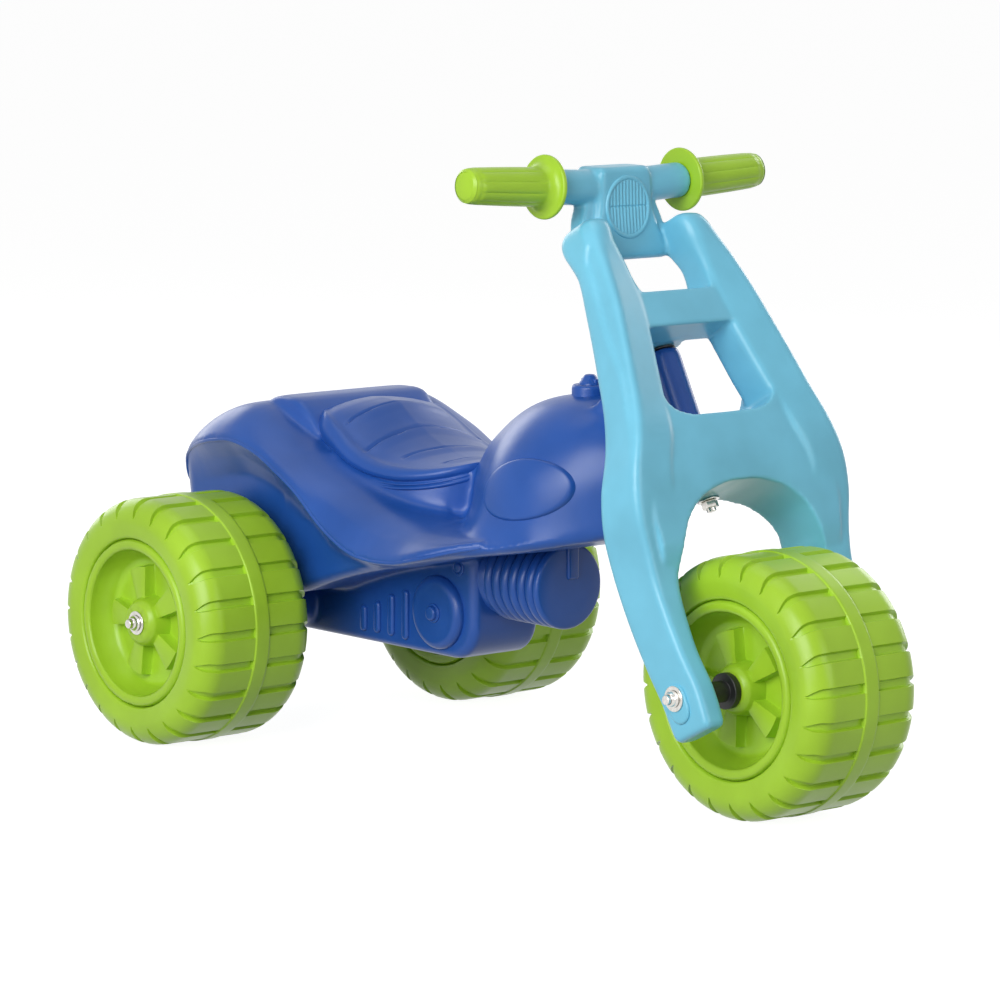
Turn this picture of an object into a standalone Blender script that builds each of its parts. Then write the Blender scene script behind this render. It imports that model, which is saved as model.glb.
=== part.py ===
"""A foot-to-floor ride-on trike for a small child.

Metres, +Z up, facing -Y. The origin is on the ground, midway between the axles.
The body's stations are measured forward from the rear axle, and the fork's along the
steering axis, up from the foot of the front axle's offset.
"""

import math

import bmesh
import bpy
from mathutils import Matrix, Vector

# Driving dimensions
WHEELBASE = 0.569
REAR_TRACK = 0.3465
RAKE = math.radians(27.5)
FORK_OFFSET = 0.0095
CLEARANCE = 0.0003
CUTTER_REACH = 0.020
ROOT = 0.004

# Wheels
WHEEL_RADIUS = 0.110
TREAD_HALF = 0.0605
SHOULDER_RADIUS = 0.021
TREAD_DEPTH = 0.0028
BAND_HALF = 0.0078
RING_RADIUS = 0.0736
RIM_WALL_RADIUS = 0.066
FLOOR_RADIUS = 0.053
FLOOR_HALF = 0.012
HUB_FACE = 0.0545
HUB_RADIUS = 0.0225
HUB_FACE_RADIUS = 0.0165
SPOKE_COUNT = 6
SPOKE_WIDTH = 0.019
SPOKE_TOP = 0.040
GROOVE_COUNT = 24
GROOVE_WIDTH = 0.0078
TYRE_SIDES = 48
RIM_SIDES = 28

# Axles, caps, washers and spacers
AXLE_RADIUS = 0.004
WASHER_RADIUS = 0.0105
WASHER_THICKNESS = 0.0012
CAP_RADIUS = 0.0072
CAP_LENGTH = 0.0052
AXLE_TIP = 0.0032
SPACER_RADIUS = 0.0090
SPACER_COLLAR_RADIUS = 0.0150
SPACER_COLLAR_LENGTH = 0.0070

# Fork, along and across the steering axis
LEG_OUTER = 0.113
LEG_WIDTH = 0.0225
LEG_REAR_ROUND = 0.005
CROSS_BAR_LOW = 0.3045
CROSS_BAR_HIGH = 0.337
CROWN_HIGH = 0.2235
ARCH_HIGH = 0.1655
UPPER_WINDOW_HALF = 0.0415
BOLT_EYE_RADIUS = 0.021
BOLT_EYE_LOW = 0.300
BOLT_EYE_RELIEF = 0.0015
PAD_HEIGHT = 0.0025
PAD_RADIUS = 0.0115
PAD_TAIL = 0.0100

# Handlebar and head block, up from the ground and back from the front axle
BAR_HEIGHT = 0.5076
BAR_BACK = 0.2047
BAR_RADIUS = 0.0150
BAR_LIFT = math.radians(3.0)
SPIGOT_RADIUS = 0.0120
SPIGOT_END = 0.150
GUARD_PLANE = 0.0758
GUARD_RADIUS = 0.0274
GUARD_THICKNESS = 0.0040
GRIP_RADIUS = 0.0163
GRIP_END = 0.1662
BLOCK_TOP = 0.5225
BLOCK_HEIGHT = 0.0780
BLOCK_FRONT = 0.1820
BLOCK_HALF = 0.030
BLOCK_ROUND = 0.004
PLATE_HALF_THICKNESS = 0.009

# Steering
TUBE_RADIUS = 0.0165
TUBE_LOW = 0.2262
TUBE_HIGH = 0.2975
BOLT_RADIUS = 0.004
BOLT_HEAD_RADIUS = 0.0072
BOLT_HEAD_HEIGHT = 0.0053
BOLT_END = 0.003
NUT_HEIGHT = 0.0062
STEERING_WASHER_RADIUS = 0.0095
BUSH_RADIUS = 0.0100
BUSH_FLANGE_RADIUS = 0.0140
BUSH_FLANGE = 0.0012
BUSH_LENGTH = 0.018

# Body, forward from the rear axle and up from the ground
STATION_BASE = 0.569
HULL_HALF = 0.038
HULL_LOW = 0.0850
HULL_FRONT = 0.233
HULL_REAR = -0.040
HULL_TOP = 0.200
HULL_ROUND = 0.014
SPACER_ROOM = 0.01875
CARRIER_RADIUS = 0.0190
CARRIER_RIB_WIDTH = 0.024
CARRIER_RIB_HIGH = 0.172
CARRIER_RIB_INSET = 0.009
LIP_THICKNESS = 0.004
DECK_SHOULDER = 0.080
WALL_INSET = 0.006
SEAT_FOOT = 0.203
HUMP_FOOT = 0.220
BARREL_RADIUS = 0.0375
BARREL_HEIGHT = 0.1585
BARREL_FRONT = 0.3143
BARREL_ROOT = 0.020
BARREL_LAND = 0.007
BARREL_ROUND = 0.004
FIN_COUNT = 6
FIN_PITCH = 0.0105
FIN_DEPTH = 0.0040
COVER_RADIUS = 0.0325
COVER_AHEAD = 0.1850
COVER_HEIGHT = 0.1215
COVER_THICKNESS = 0.0075
COVER_ROUND = 0.002
COVER_STUD_RADIUS = 0.0065
COVER_STUD_HEIGHT = 0.003
LOUVRE_COUNT = 4
LOUVRE_PITCH = 0.0186
LOUVRE_WIDTH = 0.0075
LOUVRE_FIRST = 0.0820
LOUVRE_HEIGHT = 0.1085
LOUVRE_RISE = 0.0012
LOUVRE_LENGTH = 0.0215
LOUVRE_GROWTH = 0.0068
LOUVRE_RELIEF = 0.003
FUEL_CAP_AHEAD = 0.337
FUEL_CAP_RADIUS = 0.0155
FUEL_CAP_THICKNESS = 0.0085
FUEL_CAP_ROUND = 0.002
FUEL_KNOB_FOOT = 0.0085
FUEL_KNOB_TOP = 0.0045
FUEL_KNOB_HEIGHT = 0.0090
TANK_TOP = 0.327
NECK_HALF = 0.0135
NECK_LENGTH = 0.075
NECK_INSET = 0.004

FRONT_Y = -WHEELBASE / 2
REAR_Y = WHEELBASE / 2
LEG_INNER = LEG_OUTER - LEG_WIDTH
AXLE_HOLE = AXLE_RADIUS + CLEARANCE
BOLT_HOLE = BOLT_RADIUS + CLEARANCE
CARRIER_HALF = REAR_TRACK / 2 - HUB_FACE - SPACER_ROOM

BODY_BLUE = (0.022, 0.105, 0.430)
FORK_BLUE = (0.190, 0.545, 0.735)
LIME = (0.355, 0.590, 0.030)
STEEL = (0.70, 0.69, 0.66)
BLACK = (0.012, 0.012, 0.013)


def clear_scene():
    for obj in list(bpy.data.objects):
        bpy.data.objects.remove(obj)


def make_material(name, colour, roughness, metallic=0.0):
    material = bpy.data.materials.new(name)
    material.use_nodes = True
    shader = material.node_tree.nodes["Principled BSDF"]
    shader.inputs["Base Color"].default_value = (*colour, 1.0)
    shader.inputs["Roughness"].default_value = roughness
    shader.inputs["Metallic"].default_value = metallic
    return material


def add_object(name, bm, material=None, matrix=None, parent=None):
    """The finished bmesh as an object, shaded smooth below 35 degrees."""
    mesh = bpy.data.meshes.new(name)
    bm.to_mesh(mesh)
    bm.free()
    mesh.shade_smooth()
    mesh.set_sharp_from_angle(angle=math.radians(35))
    if material:
        mesh.materials.append(material)
    obj = bpy.data.objects.new(name, mesh)
    bpy.context.scene.collection.objects.link(obj)
    obj.parent = parent
    if matrix:
        obj.matrix_local = matrix
    return obj


def shape(target, operation, *tools):
    """Joins or cuts the tools, which stay as hidden helpers under the same parent."""
    for tool in tools:
        modifier = target.modifiers.new(tool.name, "BOOLEAN")
        modifier.operation = operation
        modifier.solver = "EXACT"
        modifier.object = tool
        tool.hide_render = True
        tool.display_type = "WIRE"


def along_x(place):
    """A piece turned about its own Z lies along the world's X at this place."""
    return Matrix.Translation(place) @ Matrix.Rotation(math.pi / 2, 4, "Y")


def smooth_rows(rows, steps):
    """Rows of a table filled in on a smooth curve, with this many steps between each pair."""
    slopes = []
    for index, row in enumerate(rows):
        before, after = rows[max(index - 1, 0)], rows[min(index + 1, len(rows) - 1)]
        run = after[0] - before[0]
        slopes.append([(b - a) / run for a, b in zip(before, after)])
    filled = []
    for index in range(len(rows) - 1):
        low, high = rows[index], rows[index + 1]
        run = high[0] - low[0]
        for step in range(steps):
            t = step / steps
            rise = t * t * (3 - 2 * t)
            leave, arrive = t * (1 - t) ** 2 * run, t * t * (t - 1) * run
            filled.append([
                a + (b - a) * rise + m * leave + n * arrive
                for a, b, m, n in zip(low, high, slopes[index], slopes[index + 1])
            ])
    return filled + [list(rows[-1])]


def loft(rings):
    """A closed skin through rings with the same number of points, capped at both ends."""
    bm = bmesh.new()
    loops = []
    for ring in rings:
        corners = [bm.verts.new(point) for point in ring]
        loops.append([bm.edges.new((corners[i - 1], corners[i])) for i in range(len(corners))])
    for first, second in zip(loops, loops[1:]):
        bmesh.ops.bridge_loops(bm, edges=first + second)
    for end in (loops[0], loops[-1]):
        bmesh.ops.contextual_create(bm, geom=end)
    bmesh.ops.recalc_face_normals(bm, faces=bm.faces)
    return bm


def revolve(profile, sides):
    """A profile of (radius, height) points turned about Z and closed on the axis."""
    bm = bmesh.new()
    across, along = math.cos(math.pi / sides), math.sin(math.pi / sides)
    corners = [bm.verts.new((radius * across, radius * along, height)) for radius, height in profile]
    pairs = zip(zip(corners, corners[1:]), zip(profile, profile[1:]))
    edges = [bm.edges.new(ends) for ends, (a, b) in pairs if a[0] or b[0]]
    bmesh.ops.spin(
        bm, geom=corners + edges, cent=(0, 0, 0), axis=(0, 0, 1),
        angle=math.tau, steps=sides, use_merge=True,
    )
    bmesh.ops.remove_doubles(bm, verts=bm.verts, dist=1e-6)
    bmesh.ops.recalc_face_normals(bm, faces=bm.faces)
    return bm


def ring_profile(inner, outer, low, high):
    """The closed profile of a washer or a sleeve."""
    return [(inner, low), (outer, low), (outer, high), (inner, high), (inner, low)]


def rounded_rectangle(half_width, half_depth, radii, steps=4):
    """Points of a rectangle with round corners: rear right, rear left, front left, front right."""
    points = []
    for quarter, radius in enumerate(radii):
        radius = min(radius, half_width * 0.98, half_depth * 0.98)
        across = (half_width - radius) * (1 if quarter in (0, 3) else -1)
        along = (half_depth - radius) * (1 if quarter in (0, 1) else -1)
        for step in range(steps + 1):
            angle = math.pi / 2 * (quarter + step / steps)
            points.append((across + radius * math.cos(angle), along + radius * math.sin(angle)))
    return points


def block(size, centre, round_edges=0.0, segments=2, turn=None):
    """A box with rounded edges."""
    bm = bmesh.new()
    bmesh.ops.create_cube(bm, size=1.0)
    bmesh.ops.scale(bm, vec=size, verts=bm.verts)
    if round_edges:
        bmesh.ops.bevel(
            bm, geom=bm.edges, offset=round_edges, segments=segments,
            profile=0.5, affect="EDGES", material=-1,
        )
    if turn:
        bmesh.ops.transform(bm, matrix=turn, verts=bm.verts)
    bmesh.ops.translate(bm, vec=centre, verts=bm.verts)
    return bm


def rod(radius, length, sides=20):
    """A cylinder on Z, centred."""
    bm = bmesh.new()
    bmesh.ops.create_cone(
        bm, cap_ends=True, segments=sides, radius1=radius, radius2=radius, depth=length,
        matrix=Matrix.Rotation(math.pi / sides, 4, "Z"),
    )
    return bm


# Wheels

def tyre_profile():
    """Half of the tyre from its hidden inner edge to the tread, whose flats touch the wheel's radius."""
    centre_radius = WHEEL_RADIUS - SHOULDER_RADIUS
    centre_height = TREAD_HALF - SHOULDER_RADIUS
    over_flats = 1 / math.cos(math.pi / TYRE_SIDES)
    shoulder = []
    for step in range(4):
        angle = math.pi / 2 * step / 3
        radius = centre_radius + SHOULDER_RADIUS * math.sin(angle)
        shoulder.append((radius * over_flats, centre_height + SHOULDER_RADIUS * math.cos(angle)))
    inner = RING_RADIUS + 0.0010
    return [(inner, HUB_FACE - 0.0040), (RING_RADIUS + 0.0050, TREAD_HALF - 0.0028)] + shoulder


def rim_profile():
    """Half of the rim and the hub, from the bore to the ring."""
    return [
        (AXLE_HOLE, HUB_FACE),
        (HUB_FACE_RADIUS, HUB_FACE),
        (HUB_RADIUS, HUB_FACE - 0.0080),
        (HUB_RADIUS + 0.0015, FLOOR_HALF),
        (FLOOR_RADIUS, FLOOR_HALF),
        (RIM_WALL_RADIUS - 0.0030, HUB_FACE - 0.0100),
        (RIM_WALL_RADIUS, HUB_FACE),
        (RING_RADIUS - 0.0020, HUB_FACE + 0.0021),
        (RING_RADIUS + 0.0030, HUB_FACE - 0.0025),
    ]


def mirrored_loop(half):
    """A half profile and its mirror image, as one closed profile."""
    return half + [(radius, -height) for radius, height in reversed(half)] + [half[0]]


def groove_cutters():
    """One wedge for each tread groove, wide beside the middle band and pointed on the shoulder."""
    bm = bmesh.new()
    above = WHEEL_RADIUS + 0.004
    floor = WHEEL_RADIUS - TREAD_DEPTH
    tip = WHEEL_RADIUS - SHOULDER_RADIUS / 3
    for side in (1, -1):
        near, far = side * BAND_HALF, side * (TREAD_HALF - 0.003)
        for index in range(GROOVE_COUNT):
            corners = [
                (floor, -GROOVE_WIDTH / 2, near), (floor, GROOVE_WIDTH / 2, near),
                (above, GROOVE_WIDTH / 2, near), (above, -GROOVE_WIDTH / 2, near),
                (tip, 0, far), (above, 0, far),
            ]
            turn = Matrix.Rotation(math.tau * (index + 0.5) / GROOVE_COUNT, 4, "Z")
            v = [bm.verts.new(turn @ Vector(corner)) for corner in corners]
            for face in ((0, 1, 2, 3), (0, 4, 1), (3, 2, 5), (1, 4, 5, 2), (0, 3, 5, 4)):
                bm.faces.new([v[i] for i in face])
    bmesh.ops.recalc_face_normals(bm, faces=bm.faces)
    return bm


def spoke_blocks():
    """The raised spokes, which slope down from the hub to the rim wall."""
    bm = bmesh.new()
    inner, outer = HUB_RADIUS - 0.006, RIM_WALL_RADIUS - 0.004
    half = SPOKE_WIDTH / 2
    for index in range(SPOKE_COUNT):
        turn = Matrix.Rotation(math.tau * index / SPOKE_COUNT, 4, "Z")
        ring = [(inner, SPOKE_TOP), (outer, SPOKE_TOP - 0.010), (outer, -SPOKE_TOP + 0.010), (inner, -SPOKE_TOP)]
        near = [bm.verts.new(turn @ Vector((radius, -half, height))) for radius, height in ring]
        far = [bm.verts.new(turn @ Vector((radius, half, height))) for radius, height in ring]
        first = [bm.edges.new((near[i - 1], near[i])) for i in range(4)]
        second = [bm.edges.new((far[i - 1], far[i])) for i in range(4)]
        bmesh.ops.bridge_loops(bm, edges=first + second)
        bm.faces.new(near)
        bm.faces.new(far)
    bmesh.ops.recalc_face_normals(bm, faces=bm.faces)
    return bm


def make_wheel(name, place, material):
    matrix = along_x(place)
    wheel = add_object(name, revolve(mirrored_loop(tyre_profile()), TYRE_SIDES), material, matrix)
    grooves = add_object(name + ".grooves", groove_cutters(), matrix=matrix)
    shape(wheel, "DIFFERENCE", grooves)
    rim = add_object(name + ".rim", revolve(mirrored_loop(rim_profile()), RIM_SIDES), matrix=matrix)
    spokes = add_object(name + ".spokes", spoke_blocks(), matrix=matrix)
    shape(rim, "UNION", spokes)
    shape(wheel, "UNION", rim)
    return wheel


# Fork, in its own frame: X across, Y rearward, Z up the steering axis

def steering_frame():
    """The frame whose Z is the steering axis and whose XY plane holds the front axle."""
    tilt = Matrix.Rotation(-RAKE, 4, "X")
    axle = Vector((0, FRONT_Y, WHEEL_RADIUS))
    return Matrix.Translation(axle) @ tilt @ Matrix.Translation((0, FORK_OFFSET, 0))


def ahead(distance):
    """The fork frame's Y for a distance in front of the front axle's line."""
    return -distance - FORK_OFFSET


# Height, outer face, inner face, middle ahead of the axle's line, half depth,
# outer corner radius, inner front corner radius
LEG_STATIONS = [
    (-0.0335, LEG_OUTER - 0.004, LEG_INNER + 0.003, 0.002, 0.0180, 0.0060, 0.0060),
    (-0.0280, LEG_OUTER, LEG_INNER, 0.002, 0.0220, 0.0065, 0.0065),
    (0.0000, LEG_OUTER, LEG_INNER, 0.0015, 0.0235, 0.0065, 0.0065),
    (0.0300, LEG_OUTER, LEG_INNER, -0.003, 0.0235, 0.0065, 0.0065),
    (0.0600, LEG_OUTER, LEG_INNER - 0.002, -0.0056, 0.0240, 0.0065, 0.0065),
    (0.0900, 0.1135, 0.0850, -0.006, 0.0245, 0.0070, 0.0070),
    (0.1200, 0.1165, 0.0775, -0.0005, 0.0260, 0.0080, 0.0080),
    (0.1500, 0.1215, 0.0740, 0.0088, 0.0260, 0.0100, 0.0095),
    (0.1800, 0.1200, 0.0750, 0.0186, 0.0255, 0.0110, 0.0110),
    (0.2100, 0.1115, 0.0680, 0.0260, 0.0240, 0.0115, 0.0130),
    (0.2400, 0.1045, 0.0615, 0.0280, 0.0220, 0.0115, 0.0140),
    (0.2700, 0.0978, 0.0550, 0.0270, 0.0215, 0.0115, 0.0140),
    (0.3000, 0.0912, 0.0490, 0.0255, 0.0210, 0.0115, 0.0140),
    (0.3300, 0.0848, 0.0435, 0.0235, 0.0205, 0.0115, 0.0140),
    (0.3600, 0.0795, 0.0430, 0.0185, 0.0205, 0.0120, 0.0140),
    (0.3760, 0.0765, 0.0425, 0.0130, 0.0225, 0.0125, 0.0140),
    (0.3880, 0.0740, 0.0420, 0.0095, 0.0235, 0.0130, 0.0140),
    (0.3990, 0.0712, 0.0405, 0.0085, 0.0225, 0.0130, 0.0120),
    (0.4065, 0.0655, 0.0390, 0.0085, 0.0180, 0.0085, 0.0060),
    (0.4095, 0.0585, 0.0400, 0.0085, 0.0115, 0.0040, 0.0030),
]

# Height, half width, front and rear ahead of the axle's line
WEB_STATIONS = [
    (0.0880, 0.0990, 0.012, -0.024),
    (0.1020, 0.1000, 0.020, -0.022),
    (0.1200, 0.1020, 0.029, -0.021),
    (0.1380, 0.1040, 0.032, -0.018),
    (0.1500, 0.1040, 0.034, -0.017),
    (0.1850, 0.1020, 0.0395, -0.014),
    (0.2240, 0.0900, 0.0420, -0.008),
    (0.2600, 0.0800, 0.0420, 0.006),
    (0.3000, 0.0700, 0.0385, 0.006),
    (0.3370, 0.0600, 0.0345, 0.006),
    (0.3500, 0.0560, 0.0310, 0.007),
]

# Half width and height of the openings between the legs
ARCH_STATIONS = [
    (0.0870, 0.050), (0.0870, 0.085), (0.0830, 0.102), (0.0770, 0.120), (0.0680, 0.138),
    (0.0580, 0.1485), (0.0440, 0.1575), (0.0250, ARCH_HIGH - 0.002), (0.0120, ARCH_HIGH), (0.0, ARCH_HIGH),
]
LOWER_WINDOW = [
    (0.0, CROWN_HIGH), (0.036, CROWN_HIGH + 0.0005), (0.050, CROWN_HIGH + 0.004), (0.058, CROWN_HIGH + 0.011),
    (0.0590, CROWN_HIGH + 0.021), (0.0482, CROSS_BAR_LOW - 0.010), (0.0455, CROSS_BAR_LOW - 0.003),
    (0.0390, CROSS_BAR_LOW), (0.0, CROSS_BAR_LOW),
]
UPPER_WINDOW = [
    (0.0, CROSS_BAR_HIGH), (UPPER_WINDOW_HALF - 0.0070, CROSS_BAR_HIGH),
    (UPPER_WINDOW_HALF - 0.0020, CROSS_BAR_HIGH + 0.0020), (UPPER_WINDOW_HALF, CROSS_BAR_HIGH + 0.0070),
    (UPPER_WINDOW_HALF, CROSS_BAR_HIGH + CUTTER_REACH), (0.0, CROSS_BAR_HIGH + CUTTER_REACH),
]

# Share of the block's height below its top, half width, front and back behind the front axle
HEAD_STATIONS = [
    (0.00, BLOCK_HALF - 0.0030, BLOCK_FRONT + 0.0100, BAR_BACK + 0.0143),
    (0.05, BLOCK_HALF - 0.0015, BLOCK_FRONT + 0.0062, BAR_BACK + 0.0173),
    (0.42, BLOCK_HALF + 0.0005, BLOCK_FRONT + 0.0050, BAR_BACK + 0.0143),
    (0.67, BLOCK_HALF + 0.0060, BLOCK_FRONT + 0.0030, BAR_BACK + 0.0043),
    (0.91, BLOCK_HALF + 0.0130, BLOCK_FRONT, BLOCK_FRONT + 0.0190),
    (0.97, BLOCK_HALF + 0.0130, BLOCK_FRONT + 0.0012, BLOCK_FRONT + 0.0180),
    (1.00, BLOCK_HALF + 0.0120, BLOCK_FRONT + 0.0040, BLOCK_FRONT + 0.0160),
]

# Height, half width and middle behind the front axle of the plate at the back of the block
PLATE_STATIONS = [
    (0.510, 0.034, 0.2070), (0.492, 0.044, 0.2030), (0.478, 0.053, 0.2010), (0.455, 0.058, 0.1970),
]


def leg_rings(side):
    rings = []
    for height, outer, inner, middle, half_depth, outer_round, inner_round in LEG_STATIONS:
        centre = side * (outer + inner) / 2
        radii = (outer_round, LEG_REAR_ROUND, inner_round, outer_round)
        if side < 0:
            radii = (LEG_REAR_ROUND, outer_round, outer_round, inner_round)
        rings.append([
            (centre + across, ahead(middle) + along, height)
            for across, along in rounded_rectangle((outer - inner) / 2, half_depth, radii, 3)
        ])
    return rings


def prism(outline, low, high):
    """An outline in X and Z pushed through Y."""
    return loft([[(x, y, z) for x, z in outline] for y in (low, high)])


def both_sides(half):
    """A half outline with its mirror image, without doubling what lies on the middle line."""
    return half + [(-x, z) for x, z in reversed(half) if x]


def from_front(distance):
    """The Y of a place measured back from the front axle."""
    return FRONT_Y + distance


def bar_matrix(side):
    """Local Z runs outward along one half of the handlebar, from the middle plane."""
    height = BAR_HEIGHT - GUARD_PLANE * math.tan(BAR_LIFT)
    place = Matrix.Translation((0, from_front(BAR_BACK), height))
    return place @ Matrix.Rotation(side * (math.pi / 2 - BAR_LIFT), 4, "Y")


def axle_pad(side):
    """The raised flat pad round the axle, with a tail towards the foot of the leg."""
    outline = [(PAD_RADIUS * math.cos(angle), PAD_RADIUS * math.sin(angle))
               for angle in (math.pi * step / 6 for step in range(7))]
    outline += [(y, -PAD_TAIL - z) for y, z in reversed(outline)]
    inside, outside = side * (LEG_OUTER - ROOT), side * (LEG_OUTER + PAD_HEIGHT)
    return loft([[(x, ahead(0) + y, z) for y, z in outline] for x in (inside, outside)])


def make_fork(material, steering, to_fork):
    """Legs, crown, cross bar, head block, plate and bar stubs in one moulding."""
    fork = add_object("fork", loft(leg_rings(1)), material, parent=steering)
    left = add_object("fork.leg", loft(leg_rings(-1)), parent=steering)
    web_rings = []
    for height, half, front, rear in WEB_STATIONS:
        web_rings.append([(half, ahead(rear), height), (half, ahead(front), height),
                          (-half, ahead(front), height), (-half, ahead(rear), height)])
    web = add_object("fork.web", loft(web_rings), parent=steering)
    front = ahead(max(row[2] for row in WEB_STATIONS) + CUTTER_REACH)
    rear = ahead(min(row[3] for row in WEB_STATIONS) - CUTTER_REACH)
    openings = []
    for name, half in (("arch", ARCH_STATIONS), ("lower_window", LOWER_WINDOW), ("upper_window", UPPER_WINDOW)):
        cutter = prism(both_sides(half), front, rear)
        openings.append(add_object("fork." + name, cutter, parent=steering))
    shape(web, "DIFFERENCE", *openings)
    eye_high = CROSS_BAR_HIGH - BOLT_EYE_RELIEF
    eye = add_object(
        "fork.eye", rod(BOLT_EYE_RADIUS, eye_high - BOLT_EYE_LOW),
        matrix=Matrix.Translation((0, 0, (eye_high + BOLT_EYE_LOW) / 2)), parent=steering,
    )
    head = add_object("fork.head", head_block(), matrix=to_fork, parent=steering)
    plate = add_object("fork.plate", back_plate(), matrix=to_fork, parent=steering)
    pads, stubs = [], []
    for side, hand in ((1, "left"), (-1, "right")):
        pads.append(add_object("fork.pad_" + hand, axle_pad(side), parent=steering))
        stub = revolve([
            (0, 0), (BAR_RADIUS, 0), (BAR_RADIUS, GUARD_PLANE - CLEARANCE),
            (SPIGOT_RADIUS, GUARD_PLANE - CLEARANCE), (SPIGOT_RADIUS, SPIGOT_END), (0, SPIGOT_END),
        ], 20)
        stubs.append(add_object("fork.stub_" + hand, stub, matrix=to_fork @ bar_matrix(side), parent=steering))
    shape(fork, "UNION", left, web, eye, head, plate, *pads, *stubs)
    axle_hole = rod(AXLE_HOLE, 2 * (LEG_OUTER + CUTTER_REACH), 16)
    bolt_hole = rod(BOLT_HOLE, CROSS_BAR_HIGH - ARCH_HIGH + 2 * CUTTER_REACH, 16)
    middle = Matrix.Translation((0, 0, (CROSS_BAR_HIGH + ARCH_HIGH) / 2))
    shape(
        fork, "DIFFERENCE",
        add_object("fork.axle_hole", axle_hole, matrix=along_x((0, ahead(0), 0)), parent=steering),
        add_object("fork.bolt_hole", bolt_hole, matrix=middle, parent=steering),
    )
    return fork


def head_block():
    """The block between the shoulders, in world coordinates: upright front, sloped back."""
    rings = []
    for share, half, front, back in HEAD_STATIONS:
        middle = from_front((front + back) / 2)
        ring = rounded_rectangle(half, (back - front) / 2, [BLOCK_ROUND] * 4, 2)
        rings.append([(x, middle + y, BLOCK_TOP - share * BLOCK_HEIGHT) for x, y in ring])
    return loft(rings)


def back_plate():
    """The plate behind the block that ties the bar to both shoulders."""
    rings = []
    for height, half, back in PLATE_STATIONS:
        ring = rounded_rectangle(half, PLATE_HALF_THICKNESS, [BLOCK_ROUND] * 4, 2)
        rings.append([(x, from_front(back) + y, height) for x, y in ring])
    return loft(rings)


def make_grip(name, side, material, steering, to_fork):
    """A grip with a round hand guard and a blind bore that fits the spigot."""
    bore = SPIGOT_RADIUS + CLEARANCE
    profile = [
        (bore, GUARD_PLANE),
        (GUARD_RADIUS - 0.001, GUARD_PLANE),
        (GUARD_RADIUS, GUARD_PLANE + 0.001),
        (GUARD_RADIUS, GUARD_PLANE + GUARD_THICKNESS - 0.001),
        (GUARD_RADIUS - 0.001, GUARD_PLANE + GUARD_THICKNESS),
        (GRIP_RADIUS + 0.004, GUARD_PLANE + GUARD_THICKNESS + 0.001),
        (GRIP_RADIUS, GUARD_PLANE + GUARD_THICKNESS + 0.006),
        (GRIP_RADIUS + 0.0005, GUARD_PLANE + 0.050),
        (GRIP_RADIUS - 0.0015, GRIP_END - 0.010),
        (GRIP_RADIUS - 0.0050, GRIP_END - 0.003),
        (GRIP_RADIUS - 0.0100, GRIP_END),
        (0, GRIP_END),
        (0, SPIGOT_END + CLEARANCE),
        (bore, SPIGOT_END + CLEARANCE),
        (bore, GUARD_PLANE),
    ]
    return add_object(name, revolve(profile, 20), material, to_fork @ bar_matrix(side), steering)


def hexagon(radius, height):
    """A hexagon on Z, from 0 up."""
    bm = bmesh.new()
    bmesh.ops.create_cone(
        bm, cap_ends=True, segments=6, radius1=radius, radius2=radius, depth=height,
    )
    bmesh.ops.translate(bm, vec=(0, 0, height / 2), verts=bm.verts)
    return bm


def make_steering_hardware(steel, black, steering):
    """The bolt's head lies on the cross bar, and its nut is under the crown."""
    washer_low = ARCH_HIGH - CLEARANCE - WASHER_THICKNESS
    nut_low = washer_low - CLEARANCE - NUT_HEIGHT
    washer_high = CROSS_BAR_HIGH + CLEARANCE
    head_low = washer_high + WASHER_THICKNESS + CLEARANCE
    washer = ring_profile(BOLT_HOLE, STEERING_WASHER_RADIUS, 0, WASHER_THICKNESS)
    for name, height in (("steering_washer_bottom", washer_low), ("steering_washer_top", washer_high)):
        add_object(name, revolve(washer, 16), steel, Matrix.Translation((0, 0, height)), steering)
    bolt_low = nut_low - BOLT_END
    bolt_high = head_low + BOLT_HEAD_HEIGHT / 2
    bolt = add_object(
        "steering_bolt", rod(BOLT_RADIUS, bolt_high - bolt_low, 16), steel,
        Matrix.Translation((0, 0, (bolt_high + bolt_low) / 2)), steering,
    )
    head = add_object(
        "steering_bolt.head", hexagon(BOLT_HEAD_RADIUS, BOLT_HEAD_HEIGHT),
        matrix=Matrix.Translation((0, 0, head_low)), parent=steering,
    )
    shape(bolt, "UNION", head)
    nut = add_object(
        "steering_nut", hexagon(BOLT_HEAD_RADIUS, NUT_HEIGHT), steel,
        Matrix.Translation((0, 0, nut_low)), steering,
    )
    bore = add_object(
        "steering_nut.bore", rod(BOLT_HOLE, 3 * NUT_HEIGHT, 16),
        matrix=Matrix.Translation((0, 0, nut_low + NUT_HEIGHT / 2)), parent=steering,
    )
    shape(nut, "DIFFERENCE", bore)
    sleeve = BUSH_RADIUS - CLEARANCE
    low_flange = TUBE_LOW - CLEARANCE - BUSH_FLANGE
    profile = [
        (BOLT_HOLE, 0), (BUSH_FLANGE_RADIUS, 0), (BUSH_FLANGE_RADIUS, BUSH_FLANGE),
        (sleeve, BUSH_FLANGE), (sleeve, BUSH_LENGTH), (BOLT_HOLE, BUSH_LENGTH), (BOLT_HOLE, 0),
    ]
    add_object(
        "steering_bush_bottom", revolve(profile, 16), black, Matrix.Translation((0, 0, low_flange)), steering,
    )
    top = Matrix.Translation((0, 0, TUBE_HIGH + CLEARANCE + BUSH_FLANGE)) @ Matrix.Rotation(math.pi, 4, "X")
    add_object("steering_bush_top", revolve(profile, 16), black, top, steering)


# Body, in world coordinates

def from_rear(distance):
    """The Y of a body station forward of the rear axle, spread with the wheelbase."""
    return REAR_Y - distance * WHEELBASE / STATION_BASE


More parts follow.
